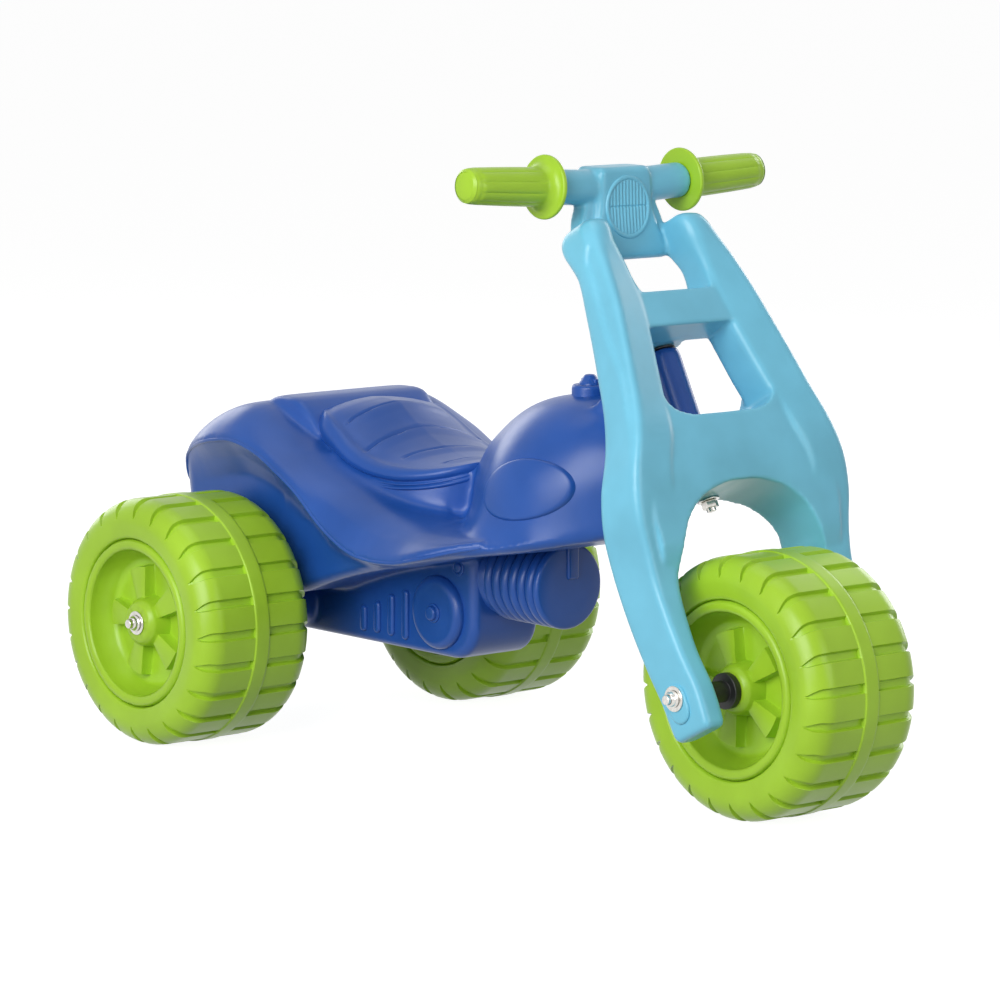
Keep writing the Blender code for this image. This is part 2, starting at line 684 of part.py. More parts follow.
# Forward of the rear axle, lip half width, lip height, deck height, bottom height
DECK_STATIONS = [
    (-0.1015, 0.0890, 0.2110, 0.2200, 0.2040),
    (-0.1005, 0.0940, 0.2190, 0.2330, 0.1985),
    (-0.0980, 0.0980, 0.2290, 0.2435, 0.1920),
    (-0.0930, 0.1020, 0.2375, 0.2530, 0.1840),
    (-0.0840, 0.1065, 0.2440, 0.2625, 0.1730),
    (-0.0680, 0.1140, 0.2505, 0.2740, 0.1550),
    (-0.0430, 0.1240, 0.2575, 0.2860, 0.1385),
    (0.0050, 0.1285, 0.2640, 0.2930, 0.1300),
    (0.0400, 0.1285, 0.2560, 0.2780, 0.1290),
    (0.0680, 0.1285, 0.2425, 0.2630, 0.1330),
    (0.0960, 0.1285, 0.2270, 0.2490, 0.1430),
    (0.1350, 0.1290, 0.1990, 0.2340, 0.1550),
    (0.1760, 0.1300, 0.1820, 0.2205, 0.1650),
    (0.2260, 0.1305, 0.1805, 0.2105, 0.1750),
    (0.2620, 0.1280, 0.1880, 0.2080, 0.1837),
    (0.2890, 0.1150, 0.1957, 0.2080, 0.1895),
    (0.3110, 0.1000, 0.2010, 0.2100, 0.1955),
]

def deck_ring(station):
    """The deck rolls over to a lip, under which the wheel's recess runs in to the side wall."""
    distance, half, lip, top, bottom = station
    y = from_rear(distance)
    drop = top - lip
    wall = min(CARRIER_HALF, half - WALL_INSET)
    shoulder = min(DECK_SHOULDER, half * 0.75)
    reach = half - shoulder
    under = lip - LIP_THICKNESS - (lip - bottom) * 0.5
    points = [
        (0.0, top), (shoulder * 0.55, top), (shoulder, top - drop * 0.02),
        (shoulder + reach * 0.40, top - drop * 0.14),
        (shoulder + reach * 0.75, top - drop * 0.45),
        (half - LIP_THICKNESS / 2, lip + LIP_THICKNESS * 1.5), (half, lip + LIP_THICKNESS / 4),
        (half - LIP_THICKNESS / 2, lip - LIP_THICKNESS / 2),
        (wall + (half - wall) * 0.45, lip - LIP_THICKNESS / 2 - (lip - under) * 0.42),
        (wall + LIP_THICKNESS / 4, under), (wall, bottom + WALL_INSET), (wall - WALL_INSET, bottom),
        (wall * 0.4, bottom), (0.0, bottom),
    ]
    return [(x, y, z) for x, z in points] + [(-x, y, z) for x, z in reversed(points[1:-1])]


# Forward of the rear axle, flank half width and height, lower edge half width and height,
# top height, and how sharply the top falls to the flank
TANK_STATIONS = [
    (0.2130, 0.015, 0.250, 0.032, 0.2060, 0.2630, 1.5),
    (0.2220, 0.028, 0.247, 0.046, 0.2050, 0.2780, 1.7),
    (0.2370, 0.041, 0.244, 0.062, 0.2030, 0.2900, 1.8),
    (0.2600, 0.059, 0.240, 0.094, 0.1985, 0.3052, 1.8),
    (0.2860, 0.076, 0.237, 0.1120, 0.1960, 0.3175, 1.5),
    (0.3140, 0.082, 0.237, 0.0990, 0.2000, 0.3250, 1.1),
    (0.3450, 0.080, 0.239, 0.0880, 0.2055, 0.3275, 1.0),
    (0.3700, 0.071, 0.241, 0.0740, 0.2110, 0.3245, 1.0),
    (0.3900, 0.059, 0.243, 0.0605, 0.2160, 0.3180, 1.0),
    (0.4080, 0.043, 0.246, 0.0440, 0.2210, 0.3070, 1.0),
    (0.4220, 0.026, 0.250, 0.0270, 0.2290, 0.2930, 1.0),
    (0.4290, 0.009, 0.254, 0.0100, 0.2420, 0.2760, 1.0),
]


def tank_ring(station, steps=6):
    """A domed top and a full flank, which flares out below to the lower edge."""
    distance, side, middle, half, low, top, fall_off = station
    y = from_rear(distance)
    points = []
    for step in range(steps + 1):
        angle = math.pi / 2 * step / steps
        height = middle + (top - middle) * math.cos(angle) ** fall_off
        points.append((side * math.sin(angle) ** 0.95, height))
    flare, fall = half - side, middle - low
    points += [(side + flare * 0.22, low + fall * 0.45), (side + flare * 0.60, low + fall * 0.14), (half, low)]
    points += [(half * 0.94, low - 0.006), (half * 0.5, low - 0.008), (0.0, low - 0.008)]
    return [(x, y, z) for x, z in points] + [(-x, y, z) for x, z in reversed(points[1:-1])]


# Forward of the rear axle, rim half width, height under the rim, top of the rim, middle height
SEAT_STATIONS = [
    (0.0400, 0.040, 0.2700, 0.2880, 0.2950),
    (0.0440, 0.056, 0.2680, 0.2890, 0.2975),
    (0.0530, 0.066, 0.2660, 0.2890, 0.2985),
    (0.0660, 0.073, 0.2640, 0.2860, 0.2980),
    (0.0860, 0.0765, 0.2570, 0.2760, 0.2930),
    (0.1080, 0.0780, 0.2480, 0.2640, 0.2800),
    (0.1350, 0.0765, 0.2420, 0.2545, 0.2670),
    (0.1600, 0.0720, 0.2400, 0.2515, 0.2585),
    (0.1850, 0.0630, 0.2420, 0.2515, 0.2545),
    (0.2050, 0.0500, 0.2460, 0.2540, 0.2555),
    (0.2180, 0.0330, 0.2510, 0.2575, 0.2585),
    (0.2240, 0.0150, 0.2540, 0.2595, 0.2605),
]


def seat_ring(station):
    """The pad's crown and rolled rim, over a base wall that runs down into the deck."""
    distance, half, under, rim, middle = station
    y = from_rear(distance)
    crown, roll = middle - rim, rim - under
    points = [
        (0.0, middle), (half * 0.40, middle - crown * 0.14), (half * 0.70, middle - crown * 0.48),
        (half * 0.88, rim), (half * 0.97, rim - roll * 0.30), (half, rim - roll * 0.65),
        (half * 0.98, under), (half * 0.94, under - 0.003), (half * 0.93, SEAT_FOOT), (0.0, SEAT_FOOT),
    ]
    return [(x, y, z) for x, z in points] + [(-x, y, z) for x, z in reversed(points[1:-1])]


# Forward of the rear axle, half width, top height
HUMP_STATIONS = [
    (-0.0130, 0.0730, 0.2870), (-0.0075, 0.0760, 0.2965), (0.0100, 0.0765, 0.3005),
    (0.0350, 0.0760, 0.2980), (0.0620, 0.0730, 0.2740),
]


def hump_ring(station):
    distance, half, top = station
    y = from_rear(distance)
    points = [
        (0.0, top), (half - 0.010, top - 0.0010), (half - 0.002, top - 0.0030), (half, top - 0.0080),
        (half, HUMP_FOOT), (0.0, HUMP_FOOT),
    ]
    return [(x, y, z) for x, z in points] + [(-x, y, z) for x, z in reversed(points[1:-1])]


def barrel_profile(length):
    """The finned barrel from inside the hull to its plain front."""
    profile = [(0, 0), (BARREL_RADIUS, 0)]
    start = length - BARREL_LAND - FIN_COUNT * FIN_PITCH
    for fin in range(FIN_COUNT):
        low = start + fin * FIN_PITCH
        profile += [
            (BARREL_RADIUS, low), (BARREL_RADIUS - FIN_DEPTH, low + FIN_PITCH * 0.30),
            (BARREL_RADIUS, low + FIN_PITCH * 0.60),
        ]
    return profile + [(BARREL_RADIUS, length - BARREL_ROUND), (BARREL_RADIUS - BARREL_ROUND, length), (0, length)]


def side_relief(side, hand):
    """The round cover and the louvres on one side of the hull."""
    cover = revolve([
        (0, -ROOT), (COVER_RADIUS, -ROOT), (COVER_RADIUS, COVER_THICKNESS - COVER_ROUND),
        (COVER_RADIUS - COVER_ROUND, COVER_THICKNESS), (COVER_STUD_RADIUS, COVER_THICKNESS),
        (COVER_STUD_RADIUS, COVER_THICKNESS + COVER_STUD_HEIGHT), (0, COVER_THICKNESS + COVER_STUD_HEIGHT),
    ], 24)
    place = Matrix.Translation((side * HULL_HALF, from_rear(COVER_AHEAD), COVER_HEIGHT))
    face = Matrix.Rotation(side * math.pi / 2, 4, "Y")
    pieces = [add_object("body.cover_" + hand, cover, matrix=place @ face)]
    for index in range(LOUVRE_COUNT):
        ahead_of_rear = LOUVRE_FIRST + index * LOUVRE_PITCH
        centre = (side * HULL_HALF, from_rear(ahead_of_rear), LOUVRE_HEIGHT + LOUVRE_RISE * index)
        size = (2 * LOUVRE_RELIEF, LOUVRE_WIDTH, LOUVRE_LENGTH + LOUVRE_GROWTH * index)
        louvre = block(size, centre, LOUVRE_RELIEF / 2, 1)
        pieces.append(add_object("body.louvre_%s_%d" % (hand, index), louvre))
    return pieces


def make_body(material, steering):
    body = add_object("body_shell", loft([deck_ring(row) for row in DECK_STATIONS]), material)
    tank = loft([tank_ring(row) for row in smooth_rows(TANK_STATIONS, 2)])
    tools = [
        add_object("body.tank", tank),
        add_object("body.seat", loft([seat_ring(row) for row in SEAT_STATIONS])),
        add_object("body.hump", loft([hump_ring(row) for row in HUMP_STATIONS])),
    ]
    hull_front, hull_rear = from_rear(HULL_FRONT), from_rear(HULL_REAR)
    hull = block(
        (2 * HULL_HALF, hull_rear - hull_front, HULL_TOP - HULL_LOW),
        (0, (hull_front + hull_rear) / 2, (HULL_TOP + HULL_LOW) / 2), HULL_ROUND, 3,
    )
    tools.append(add_object("body.hull", hull))
    carrier = rod(CARRIER_RADIUS, 2 * CARRIER_HALF, 24)
    tools.append(add_object("body.carrier", carrier, matrix=along_x((0, REAR_Y, WHEEL_RADIUS))))
    rib = block(
        (2 * (CARRIER_HALF - CARRIER_RIB_INSET), CARRIER_RIB_WIDTH, CARRIER_RIB_HIGH - WHEEL_RADIUS),
        (0, REAR_Y, (CARRIER_RIB_HIGH + WHEEL_RADIUS) / 2),
    )
    tools.append(add_object("body.carrier_rib", rib))
    barrel_back = hull_front + BARREL_ROOT
    back = Matrix.Translation((0, barrel_back, BARREL_HEIGHT)) @ Matrix.Rotation(math.pi / 2, 4, "X")
    barrel = revolve(barrel_profile(barrel_back - from_rear(BARREL_FRONT)), 22)
    tools.append(add_object("body.barrel", barrel, matrix=back))
    for side, hand in ((1, "left"), (-1, "right")):
        tools += side_relief(side, hand)
    cap = revolve([
        (0, -2 * ROOT), (FUEL_CAP_RADIUS, -2 * ROOT), (FUEL_CAP_RADIUS, FUEL_CAP_THICKNESS - FUEL_CAP_ROUND),
        (FUEL_CAP_RADIUS - FUEL_CAP_ROUND, FUEL_CAP_THICKNESS), (FUEL_KNOB_FOOT, FUEL_CAP_THICKNESS),
        (FUEL_KNOB_TOP, FUEL_CAP_THICKNESS + FUEL_KNOB_HEIGHT), (0, FUEL_CAP_THICKNESS + FUEL_KNOB_HEIGHT),
    ], 24)
    on_tank = Matrix.Translation((0, from_rear(FUEL_CAP_AHEAD), TANK_TOP))
    tools.append(add_object("body.fuel_cap", cap, matrix=on_tank))
    tube_middle = (TUBE_HIGH + TUBE_LOW) / 2
    on_axis = Matrix.Translation((0, 0, tube_middle))
    tube = rod(TUBE_RADIUS, TUBE_HIGH - TUBE_LOW, 28)
    tools.append(add_object("body.head_tube", tube, matrix=on_axis, parent=steering))
    neck = block(
        (2 * NECK_HALF, NECK_LENGTH, TUBE_HIGH - TUBE_LOW - 2 * NECK_INSET),
        (0, NECK_LENGTH / 2, tube_middle), NECK_INSET,
    )
    tools.append(add_object("body.neck", neck, parent=steering))
    shape(body, "UNION", *tools)
    axle_hole = rod(AXLE_HOLE, 2 * (CARRIER_HALF + CUTTER_REACH), 16)
    tube_hole = rod(BUSH_RADIUS, TUBE_HIGH - TUBE_LOW + 2 * CUTTER_REACH)
    shape(
        body, "DIFFERENCE",
        add_object("body.axle_hole", axle_hole, matrix=along_x((0, REAR_Y, WHEEL_RADIUS))),
        add_object("body.tube_hole", tube_hole, matrix=on_axis, parent=steering),
    )
    return body


def make_axle_set(end, place, half_length, seat, body_face, steel, black, hub_inner):
    """An axle, and at each end its washer, cap and spacer. The seat is what the washer rests on."""
    axle = rod(AXLE_RADIUS, 2 * half_length, 16)
    add_object(end + "_axle", axle, steel, along_x(place))
    for side, hand in ((1, "left"), (-1, "right")):
        face = Matrix.Rotation(side * math.pi / 2, 4, "Y")
        washer = ring_profile(AXLE_HOLE, WASHER_RADIUS, 0, WASHER_THICKNESS)
        at = Vector(place) + Vector((side * (seat + CLEARANCE), 0, 0))
        add_object("%s_washer_%s" % (end, hand), revolve(washer, 16), steel, Matrix.Translation(at) @ face)
        cap = [
            (AXLE_HOLE, 0), (CAP_RADIUS, 0), (CAP_RADIUS, 0.0012), (CAP_RADIUS - 0.0015, CAP_LENGTH - 0.0010),
            (AXLE_HOLE + 0.0006, CAP_LENGTH), (AXLE_HOLE, CAP_LENGTH), (AXLE_HOLE, 0),
        ]
        at = Vector(place) + Vector((side * (seat + 2 * CLEARANCE + WASHER_THICKNESS), 0, 0))
        add_object("%s_cap_%s" % (end, hand), revolve(cap, 16), steel, Matrix.Translation(at) @ face)
        room = hub_inner - body_face
        length = abs(room) - 2 * CLEARANCE
        neck = length - SPACER_COLLAR_LENGTH
        spacer = [
            (AXLE_HOLE, 0), (SPACER_RADIUS, 0), (SPACER_RADIUS, neck), (SPACER_COLLAR_RADIUS, neck),
            (SPACER_COLLAR_RADIUS, length), (AXLE_HOLE, length), (AXLE_HOLE, 0),
        ]
        start = side * (body_face + math.copysign(CLEARANCE, room))
        turn = Matrix.Rotation(side * math.copysign(math.pi / 2, room), 4, "Y")
        at = Matrix.Translation(Vector(place) + Vector((start, 0, 0)))
        add_object("%s_spacer_%s" % (end, hand), revolve(spacer, 18), black, at @ turn)


def main():
    clear_scene()
    blue = make_material("body_blue", BODY_BLUE, 0.34)
    light = make_material("fork_blue", FORK_BLUE, 0.34)
    lime = make_material("lime", LIME, 0.36)
    steel = make_material("steel", STEEL, 0.25, 1.0)
    black = make_material("black", BLACK, 0.45)

    frame = steering_frame()
    steering = bpy.data.objects.new("steering_axis", None)
    bpy.context.scene.collection.objects.link(steering)
    steering.matrix_world = frame
    to_fork = frame.inverted()

    make_body(blue, steering)
    make_fork(light, steering, to_fork)
    make_grip("grip_left", 1, lime, steering, to_fork)
    make_grip("grip_right", -1, lime, steering, to_fork)
    make_steering_hardware(steel, black, steering)

    make_wheel("front_wheel", (0, FRONT_Y, WHEEL_RADIUS), lime)
    for side, hand in ((1, "left"), (-1, "right")):
        make_wheel("rear_wheel_" + hand, (side * REAR_TRACK / 2, REAR_Y, WHEEL_RADIUS), lime)

    reach = 2 * CLEARANCE + WASHER_THICKNESS + CAP_LENGTH + AXLE_TIP
    front_seat = LEG_OUTER + PAD_HEIGHT
    front = (0, FRONT_Y, WHEEL_RADIUS)
    make_axle_set("front", front, front_seat + reach, front_seat, LEG_INNER, steel, black, HUB_FACE)
    rear_seat = REAR_TRACK / 2 + HUB_FACE
    rear = (0, REAR_Y, WHEEL_RADIUS)
    hub_inner = REAR_TRACK / 2 - HUB_FACE
    make_axle_set("rear", rear, rear_seat + reach, rear_seat, CARRIER_HALF, steel, black, hub_inner)


if __name__ == "__main__":
    main()
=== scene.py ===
import math

import bmesh
import bpy
from bpy.props import FloatProperty, FloatVectorProperty, PointerProperty
from mathutils import Matrix, Vector
from mathutils.bvhtree import BVHTree


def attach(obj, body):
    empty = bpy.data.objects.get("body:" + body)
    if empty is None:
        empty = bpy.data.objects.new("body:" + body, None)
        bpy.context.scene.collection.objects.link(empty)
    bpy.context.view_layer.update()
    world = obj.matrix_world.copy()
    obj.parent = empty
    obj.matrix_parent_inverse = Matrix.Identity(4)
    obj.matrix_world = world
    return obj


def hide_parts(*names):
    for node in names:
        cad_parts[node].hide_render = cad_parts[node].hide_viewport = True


bl_info = {
    "name": "Ride-on trike looks",
    "version": (1, 0, 0),
    "blender": (4, 5, 0),
    "location": "3D View > Sidebar > Trike",
    "description": "Builds the moulded, treaded and plated surfaces of a child's ride-on trike",
    "category": "Object",
}

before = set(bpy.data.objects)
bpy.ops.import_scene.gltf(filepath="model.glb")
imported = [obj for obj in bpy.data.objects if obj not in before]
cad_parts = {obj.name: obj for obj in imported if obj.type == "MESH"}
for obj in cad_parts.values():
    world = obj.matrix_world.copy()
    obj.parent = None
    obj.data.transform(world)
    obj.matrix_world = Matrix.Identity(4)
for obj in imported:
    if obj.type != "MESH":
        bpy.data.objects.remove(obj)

# Places that the joints fix
FRONT_AXLE = Vector((0.0, -0.2845, 0.110))
REAR_AXLE = Vector((0.0, 0.2845, 0.110))
HIP = REAR_AXLE.y
REAR_WHEEL_OUT = 0.17325
RAKE = math.radians(27.5)
OFFSET = 0.0095
STEERING = (
    Matrix.Translation(FRONT_AXLE) @ Matrix.Rotation(-RAKE, 4, "X") @ Matrix.Translation((0, OFFSET, 0)))

# The clearance between pieces that touch, and the bore that all axles and the bolt run in
GAP, BORE = 0.0003, 0.0043
SIDES = ((1, "left"), (-1, "right"))


# Making meshes

def piece(name, bm, look=None, body=None, stands_for=(), smooth=35):
    """The finished bmesh as an object at the origin that rides on its body."""
    mesh = bpy.data.meshes.new(name)
    bm.to_mesh(mesh)
    bm.free()
    mesh.shade_smooth()
    mesh.set_sharp_from_angle(angle=math.radians(smooth))
    obj = bpy.data.objects.new(name, mesh)
    bpy.context.scene.collection.objects.link(obj)
    if look:
        mesh.materials.append(look[0])
    if body:
        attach(obj, body)
    if stands_for:
        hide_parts(*stands_for)
    return obj


def gathered(solids):
    """Several bmeshes in one."""
    whole = bmesh.new()
    for solid in solids:
        mesh = bpy.data.meshes.new("solid")
        solid.to_mesh(mesh)
        solid.free()
        whole.from_mesh(mesh)
        bpy.data.meshes.remove(mesh)
    return whole


def applied(bm, settings, tools=()):
    """The bmesh after one modifier, with the bmeshes that the modifier uses."""
    objects = []
    for solid in (bm, *tools):
        mesh = bpy.data.meshes.new("work")
        solid.to_mesh(mesh)
        solid.free()
        objects.append(bpy.data.objects.new("work", mesh))
        bpy.context.scene.collection.objects.link(objects[-1])
    for tool in objects[1:] or [None]:
        modifier = objects[0].modifiers.new("work", settings["type"])
        for key, value in settings.items():
            if key != "type":
                setattr(modifier, key, value)
        if tool:
            modifier.object = tool
    depsgraph = bpy.context.evaluated_depsgraph_get()
    result = bmesh.new()
    result.from_object(objects[0], depsgraph)
    for obj in objects:
        mesh = obj.data
        bpy.data.objects.remove(obj)
        bpy.data.meshes.remove(mesh)
    return result


def cut(bm, *tools):
    return applied(bm, {"type": "BOOLEAN", "operation": "DIFFERENCE", "solver": "EXACT"}, tools)


def one_skin(solids, cell, rounds):
    """Overlapping solids drawn into one skin with soft inner corners, as blow moulding leaves them."""
    skin = applied(gathered(solids), {"type": "REMESH", "mode": "VOXEL", "voxel_size": cell})
    soften(skin, skin.verts, rounds)
    return skin


def soften(bm, verts, rounds):
    for _ in range(rounds):
        bmesh.ops.smooth_vert(
            bm, verts=verts, factor=0.5, use_axis_x=True, use_axis_y=True, use_axis_z=True)


def eased(rows, steps):
    """Rows of a table filled in on a smooth curve, with this many steps between each pair."""
    slopes = []
    for index in range(len(rows)):
        before, after = rows[max(index - 1, 0)], rows[min(index + 1, len(rows) - 1)]
        run = after[0] - before[0]
        slopes.append([(b - a) / run for a, b in zip(before, after)])
    filled = []
    for index in range(len(rows) - 1):
        low, high = rows[index], rows[index + 1]
        run = high[0] - low[0]
        for step in range(steps):
            t = step / steps
            rise = t * t * (3 - 2 * t)
            leave, arrive = t * (1 - t) ** 2 * run, t * t * (t - 1) * run
            filled.append([
                a + (b - a) * rise + m * leave + n * arrive
                for a, b, m, n in zip(low, high, slopes[index], slopes[index + 1])])
    return filled + [list(rows[-1])]


def curved(points, steps):
    """Points of an open path filled in on a smooth curve."""
    filled = []
    for index in range(len(points) - 1):
        p0 = Vector(points[max(index - 1, 0)])
        p1, p2 = Vector(points[index]), Vector(points[index + 1])
        p3 = Vector(points[min(index + 2, len(points) - 1)])
        for step in range(steps):
            t = step / steps
            filled.append(0.5 * (
                2 * p1 + (p2 - p0) * t + (2 * p0 - 5 * p1 + 4 * p2 - p3) * t ** 2
                + (3 * p1 - p0 - 3 * p2 + p3) * t ** 3))
    return filled + [Vector(points[-1])]


def between(low, high, value):
    """0 below low, 1 above high and a smooth rise between them."""
    t = min(max((value - low) / (high - low), 0.0), 1.0)
    return t * t * (3 - 2 * t)


def loop_of(bm, points):
    """The edges of a closed ring through these points."""
    corners = [bm.verts.new(point) for point in points]
    return [bm.edges.new((corners[i - 1], corners[i])) for i in range(len(corners))]


def bridge(bm, loops):
    for first, second in zip(loops, loops[1:]):
        bmesh.ops.bridge_loops(bm, edges=first + second)


def skin_over(rings):
    """A skin through rings of points, closed at both ends."""
    bm = bmesh.new()
    loops = [loop_of(bm, ring) for ring in rings]
    bridge(bm, loops)
    for end in (loops[0], loops[-1]):
        bmesh.ops.contextual_create(bm, geom=end)
    bmesh.ops.recalc_face_normals(bm, faces=bm.faces)
    return bm


def spun(profile, sides):
    """A profile of (radius, height) points spun about Z, without what of it lies on the axis."""
    bm = bmesh.new()
    corners = [bm.verts.new((radius, 0, height)) for radius, height in profile]
    edges = [
        bm.edges.new(ends)
        for ends, (a, b) in zip(zip(corners, corners[1:]), zip(profile, profile[1:])) if a[0] or b[0]]
    bmesh.ops.spin(
        bm, geom=corners + edges, cent=(0, 0, 0), axis=(0, 0, 1), angle=math.tau, steps=sides, use_merge=True)
    return bm


def turned(profile, sides, place=None):
    """A spun profile with its poles and seam closed, put in its place."""
    bm = spun(profile, sides)
    bmesh.ops.remove_doubles(bm, verts=bm.verts, dist=1e-6)
    bmesh.ops.recalc_face_normals(bm, faces=bm.faces)
    if place:
        bmesh.ops.transform(bm, matrix=place, verts=bm.verts)
    return bm


def rounded_corner(before, here, after, rounding, steps):
    """The points of a corner that is rounded on a parabola."""
    before, here, after = Vector(before[:2]), Vector(here[:2]), Vector(after[:2])
    start = here + (before - here).normalized() * rounding
    end = here + (after - here).normalized() * rounding
    shares = [step / steps for step in range(steps + 1)]
    return [tuple(start * (1 - t) ** 2 + here * 2 * t * (1 - t) + end * t * t) for t in shares]


def rounded_profile(rows, steps):
    """A profile of (radius, height, rounding) rows with its corners rounded."""
    path = []
    for index, row in enumerate(rows):
        if row[2] and 0 < index < len(rows) - 1:
            path += rounded_corner(rows[index - 1], row, rows[index + 1], row[2], steps)
        else:
            path.append(tuple(Vector(row[:2])))
    return path


def rounded_loop(rows, steps):
    """A closed section through corners of (x, y, rounding)."""
    points = []
    for index, row in enumerate(rows):
        points += rounded_corner(rows[index - 1], row, rows[(index + 1) % len(rows)], row[2], steps)
    return points


def lathed(rows, steps, sides, place):
    """A turned piece from rows of (radius, height, rounding)."""
    return turned(rounded_profile(rows, steps), sides, place)


def bevel(bm, edges, rounding, segments):
    bmesh.ops.bevel(
        bm, geom=edges, offset=rounding, segments=segments, profile=0.5, affect="EDGES", material=-1)


def block(size, centre, rounding=0.0):
    """A block, with its edges rounded if a rounding is given."""
    bm = bmesh.new()
    bmesh.ops.create_cube(bm, size=1.0)
    bmesh.ops.scale(bm, vec=size, verts=bm.verts)
    if rounding:
        bevel(bm, bm.edges, rounding, 4)
    bmesh.ops.translate(bm, vec=centre, verts=bm.verts)
    return bm


def rod(radius, length, sides, place):
    """A plain round bar along Z, with its middle at its place."""
    bm = bmesh.new()
    bmesh.ops.create_cone(
        bm, cap_ends=True, segments=sides, radius1=radius, radius2=radius, depth=length, matrix=place)
    return bm


def facing(side):
    """Turns a piece made on Z so that its Z points out to this side."""
    return Matrix.Rotation(side * math.pi / 2, 4, "Y")


def lift(height):
    return Matrix.Translation((0, 0, height))


def mirrored_ring(points, distance):
    """Half a section, from the middle round to the middle, with its mirror image, at a distance
    forward of the rear axle."""
    y = from_hip(distance)
    return [(x, y, z) for x, z in points] + [(-x, y, z) for x, z in reversed(points[1:-1])]


def relief(surface, centre, outward, outline, heights, spokes):
    """A raised patch that lies on a surface. The outline gives its reach in each direction, and the
    heights are (share of the reach, height over the surface), from the middle outwards."""
    outward, up = Vector(outward).normalized(), Vector((0, 0, 1))
    across = up.cross(outward)

    def laid(angle, share, height):
        reach = outline(angle) * share
        start = Vector(centre) + across * reach * math.cos(angle) + up * reach * math.sin(angle)
        hit, normal = surface.ray_cast(start + outward * 0.06, -outward)[:2]
        if hit is None:
            raise RuntimeError("the relief reaches past its surface")
        return hit + normal * height

    bm = bmesh.new()
    middle = bm.verts.new(laid(0.0, *heights[0]))
    angles = [math.tau * index / spokes for index in range(spokes)]
    loops = [loop_of(bm, [laid(angle, *row) for angle in angles]) for row in heights[1:]]
    bridge(bm, loops)
    for edge in loops[0]:
        bm.faces.new((*edge.verts, middle))
    bmesh.ops.recalc_face_normals(bm, faces=bm.faces)
    if sum(face.normal.dot(outward) for face in bm.faces) < 0:
        bmesh.ops.reverse_faces(bm, faces=bm.faces)
    return bm


# Materials

class Field:
    """A value or colour that varies over a surface, with arithmetic on values."""

    def __init__(self, nodes, socket):
        self.nodes = nodes
        self.socket = socket

    def math(self, operation, first, second):
        return self.nodes.node("ShaderNodeMath", {"operation": operation}, {0: first, 1: second})

    def __add__(self, other):
        return self.math("ADD", self, other)

    def __radd__(self, other):
        return self.math("ADD", other, self)

    def __sub__(self, other):
        return self.math("SUBTRACT", self, other)

    def __rsub__(self, other):
        return self.math("SUBTRACT", other, self)

    def __mul__(self, other):
        return self.math("MULTIPLY", self, other)

    def __rmul__(self, other):
        return self.math("MULTIPLY", other, self)


class Nodes:
    """A tree of nodes, with one method that adds any node."""

    def __init__(self, tree):
        self.tree = tree

    def feed(self, socket, value):
        if isinstance(value, Field):
            self.tree.links.new(value.socket, socket)
        else:
            socket.default_value = value

    def node(self, kind, settings=None, sockets=None, output=0):
        made = self.tree.nodes.new(kind)
        for key, value in (settings or {}).items():
            setattr(made, key, value)
        for key, value in (sockets or {}).items():
            self.feed(made.inputs[key], value)
        return Field(self, made.outputs[output])

    def ramp(self, value, low, high, least=0.0, most=1.0):
        """The least below low, the most above high and an even rise between them."""
        return self.node("ShaderNodeMapRange", {"clamp": True}, {
            "Value": value, "From Min": low, "From Max": high, "To Min": least, "To Max": most}, "Result")

    def seen(self):
        """1 for what the camera, a glossy surface or a clear one sees, and 0 for light on the object."""
        path = self.tree.nodes.new("ShaderNodeLightPath")
        camera, glossy, clear = (
            Field(self, path.outputs["Is %s Ray" % kind]) for kind in ("Camera", "Glossy", "Transmission"))
        return camera + glossy + clear


class Finish(Nodes):
    """The nodes of one material."""

    def __init__(self, name):
        self.material = bpy.data.materials.new(name)
        self.material.use_nodes = True
        super().__init__(self.material.node_tree)
        self.shader = self.tree.nodes["Principled BSDF"]

    def place(self):
        return self.node("ShaderNodeTexCoord", output="Object")

    def noise(self, scale, detail=2.0, roughness=0.5, place=None):
        return self.node("ShaderNodeTexNoise", {}, {
            "Vector": place or self.place(), "Scale": scale, "Detail": detail, "Roughness": roughness})

    def stretched(self, scale, turn=(0.0, 0.0, 0.0)):
        return self.node("ShaderNodeMapping", {}, {
            "Vector": self.place(), "Scale": scale, "Rotation": turn})

    def mix(self, share, first, second):
        made = self.tree.nodes.new("ShaderNodeMix")
        made.data_type = "RGBA"
        self.feed(made.inputs[0], share)
        self.feed(made.inputs[6], first)
        self.feed(made.inputs[7], second)
        return Field(self, made.outputs[2])

    def bump(self, height, strength, distance, below=None):
        sockets = {"Strength": strength, "Distance": distance, "Height": height}
        if below:
            sockets["Normal"] = below
        return self.node("ShaderNodeBump", {}, sockets)

    def finish(self, **sockets):
        for name, value in sockets.items():
            self.feed(self.shader.inputs[name.replace("_", " ")], value)
        return self.material


def shade(colour, gain=1.0, plus=0.0):
    """An opaque colour made darker or lighter."""
    return (*(min(part * gain + plus, 1.0) for part in colour), 1.0)


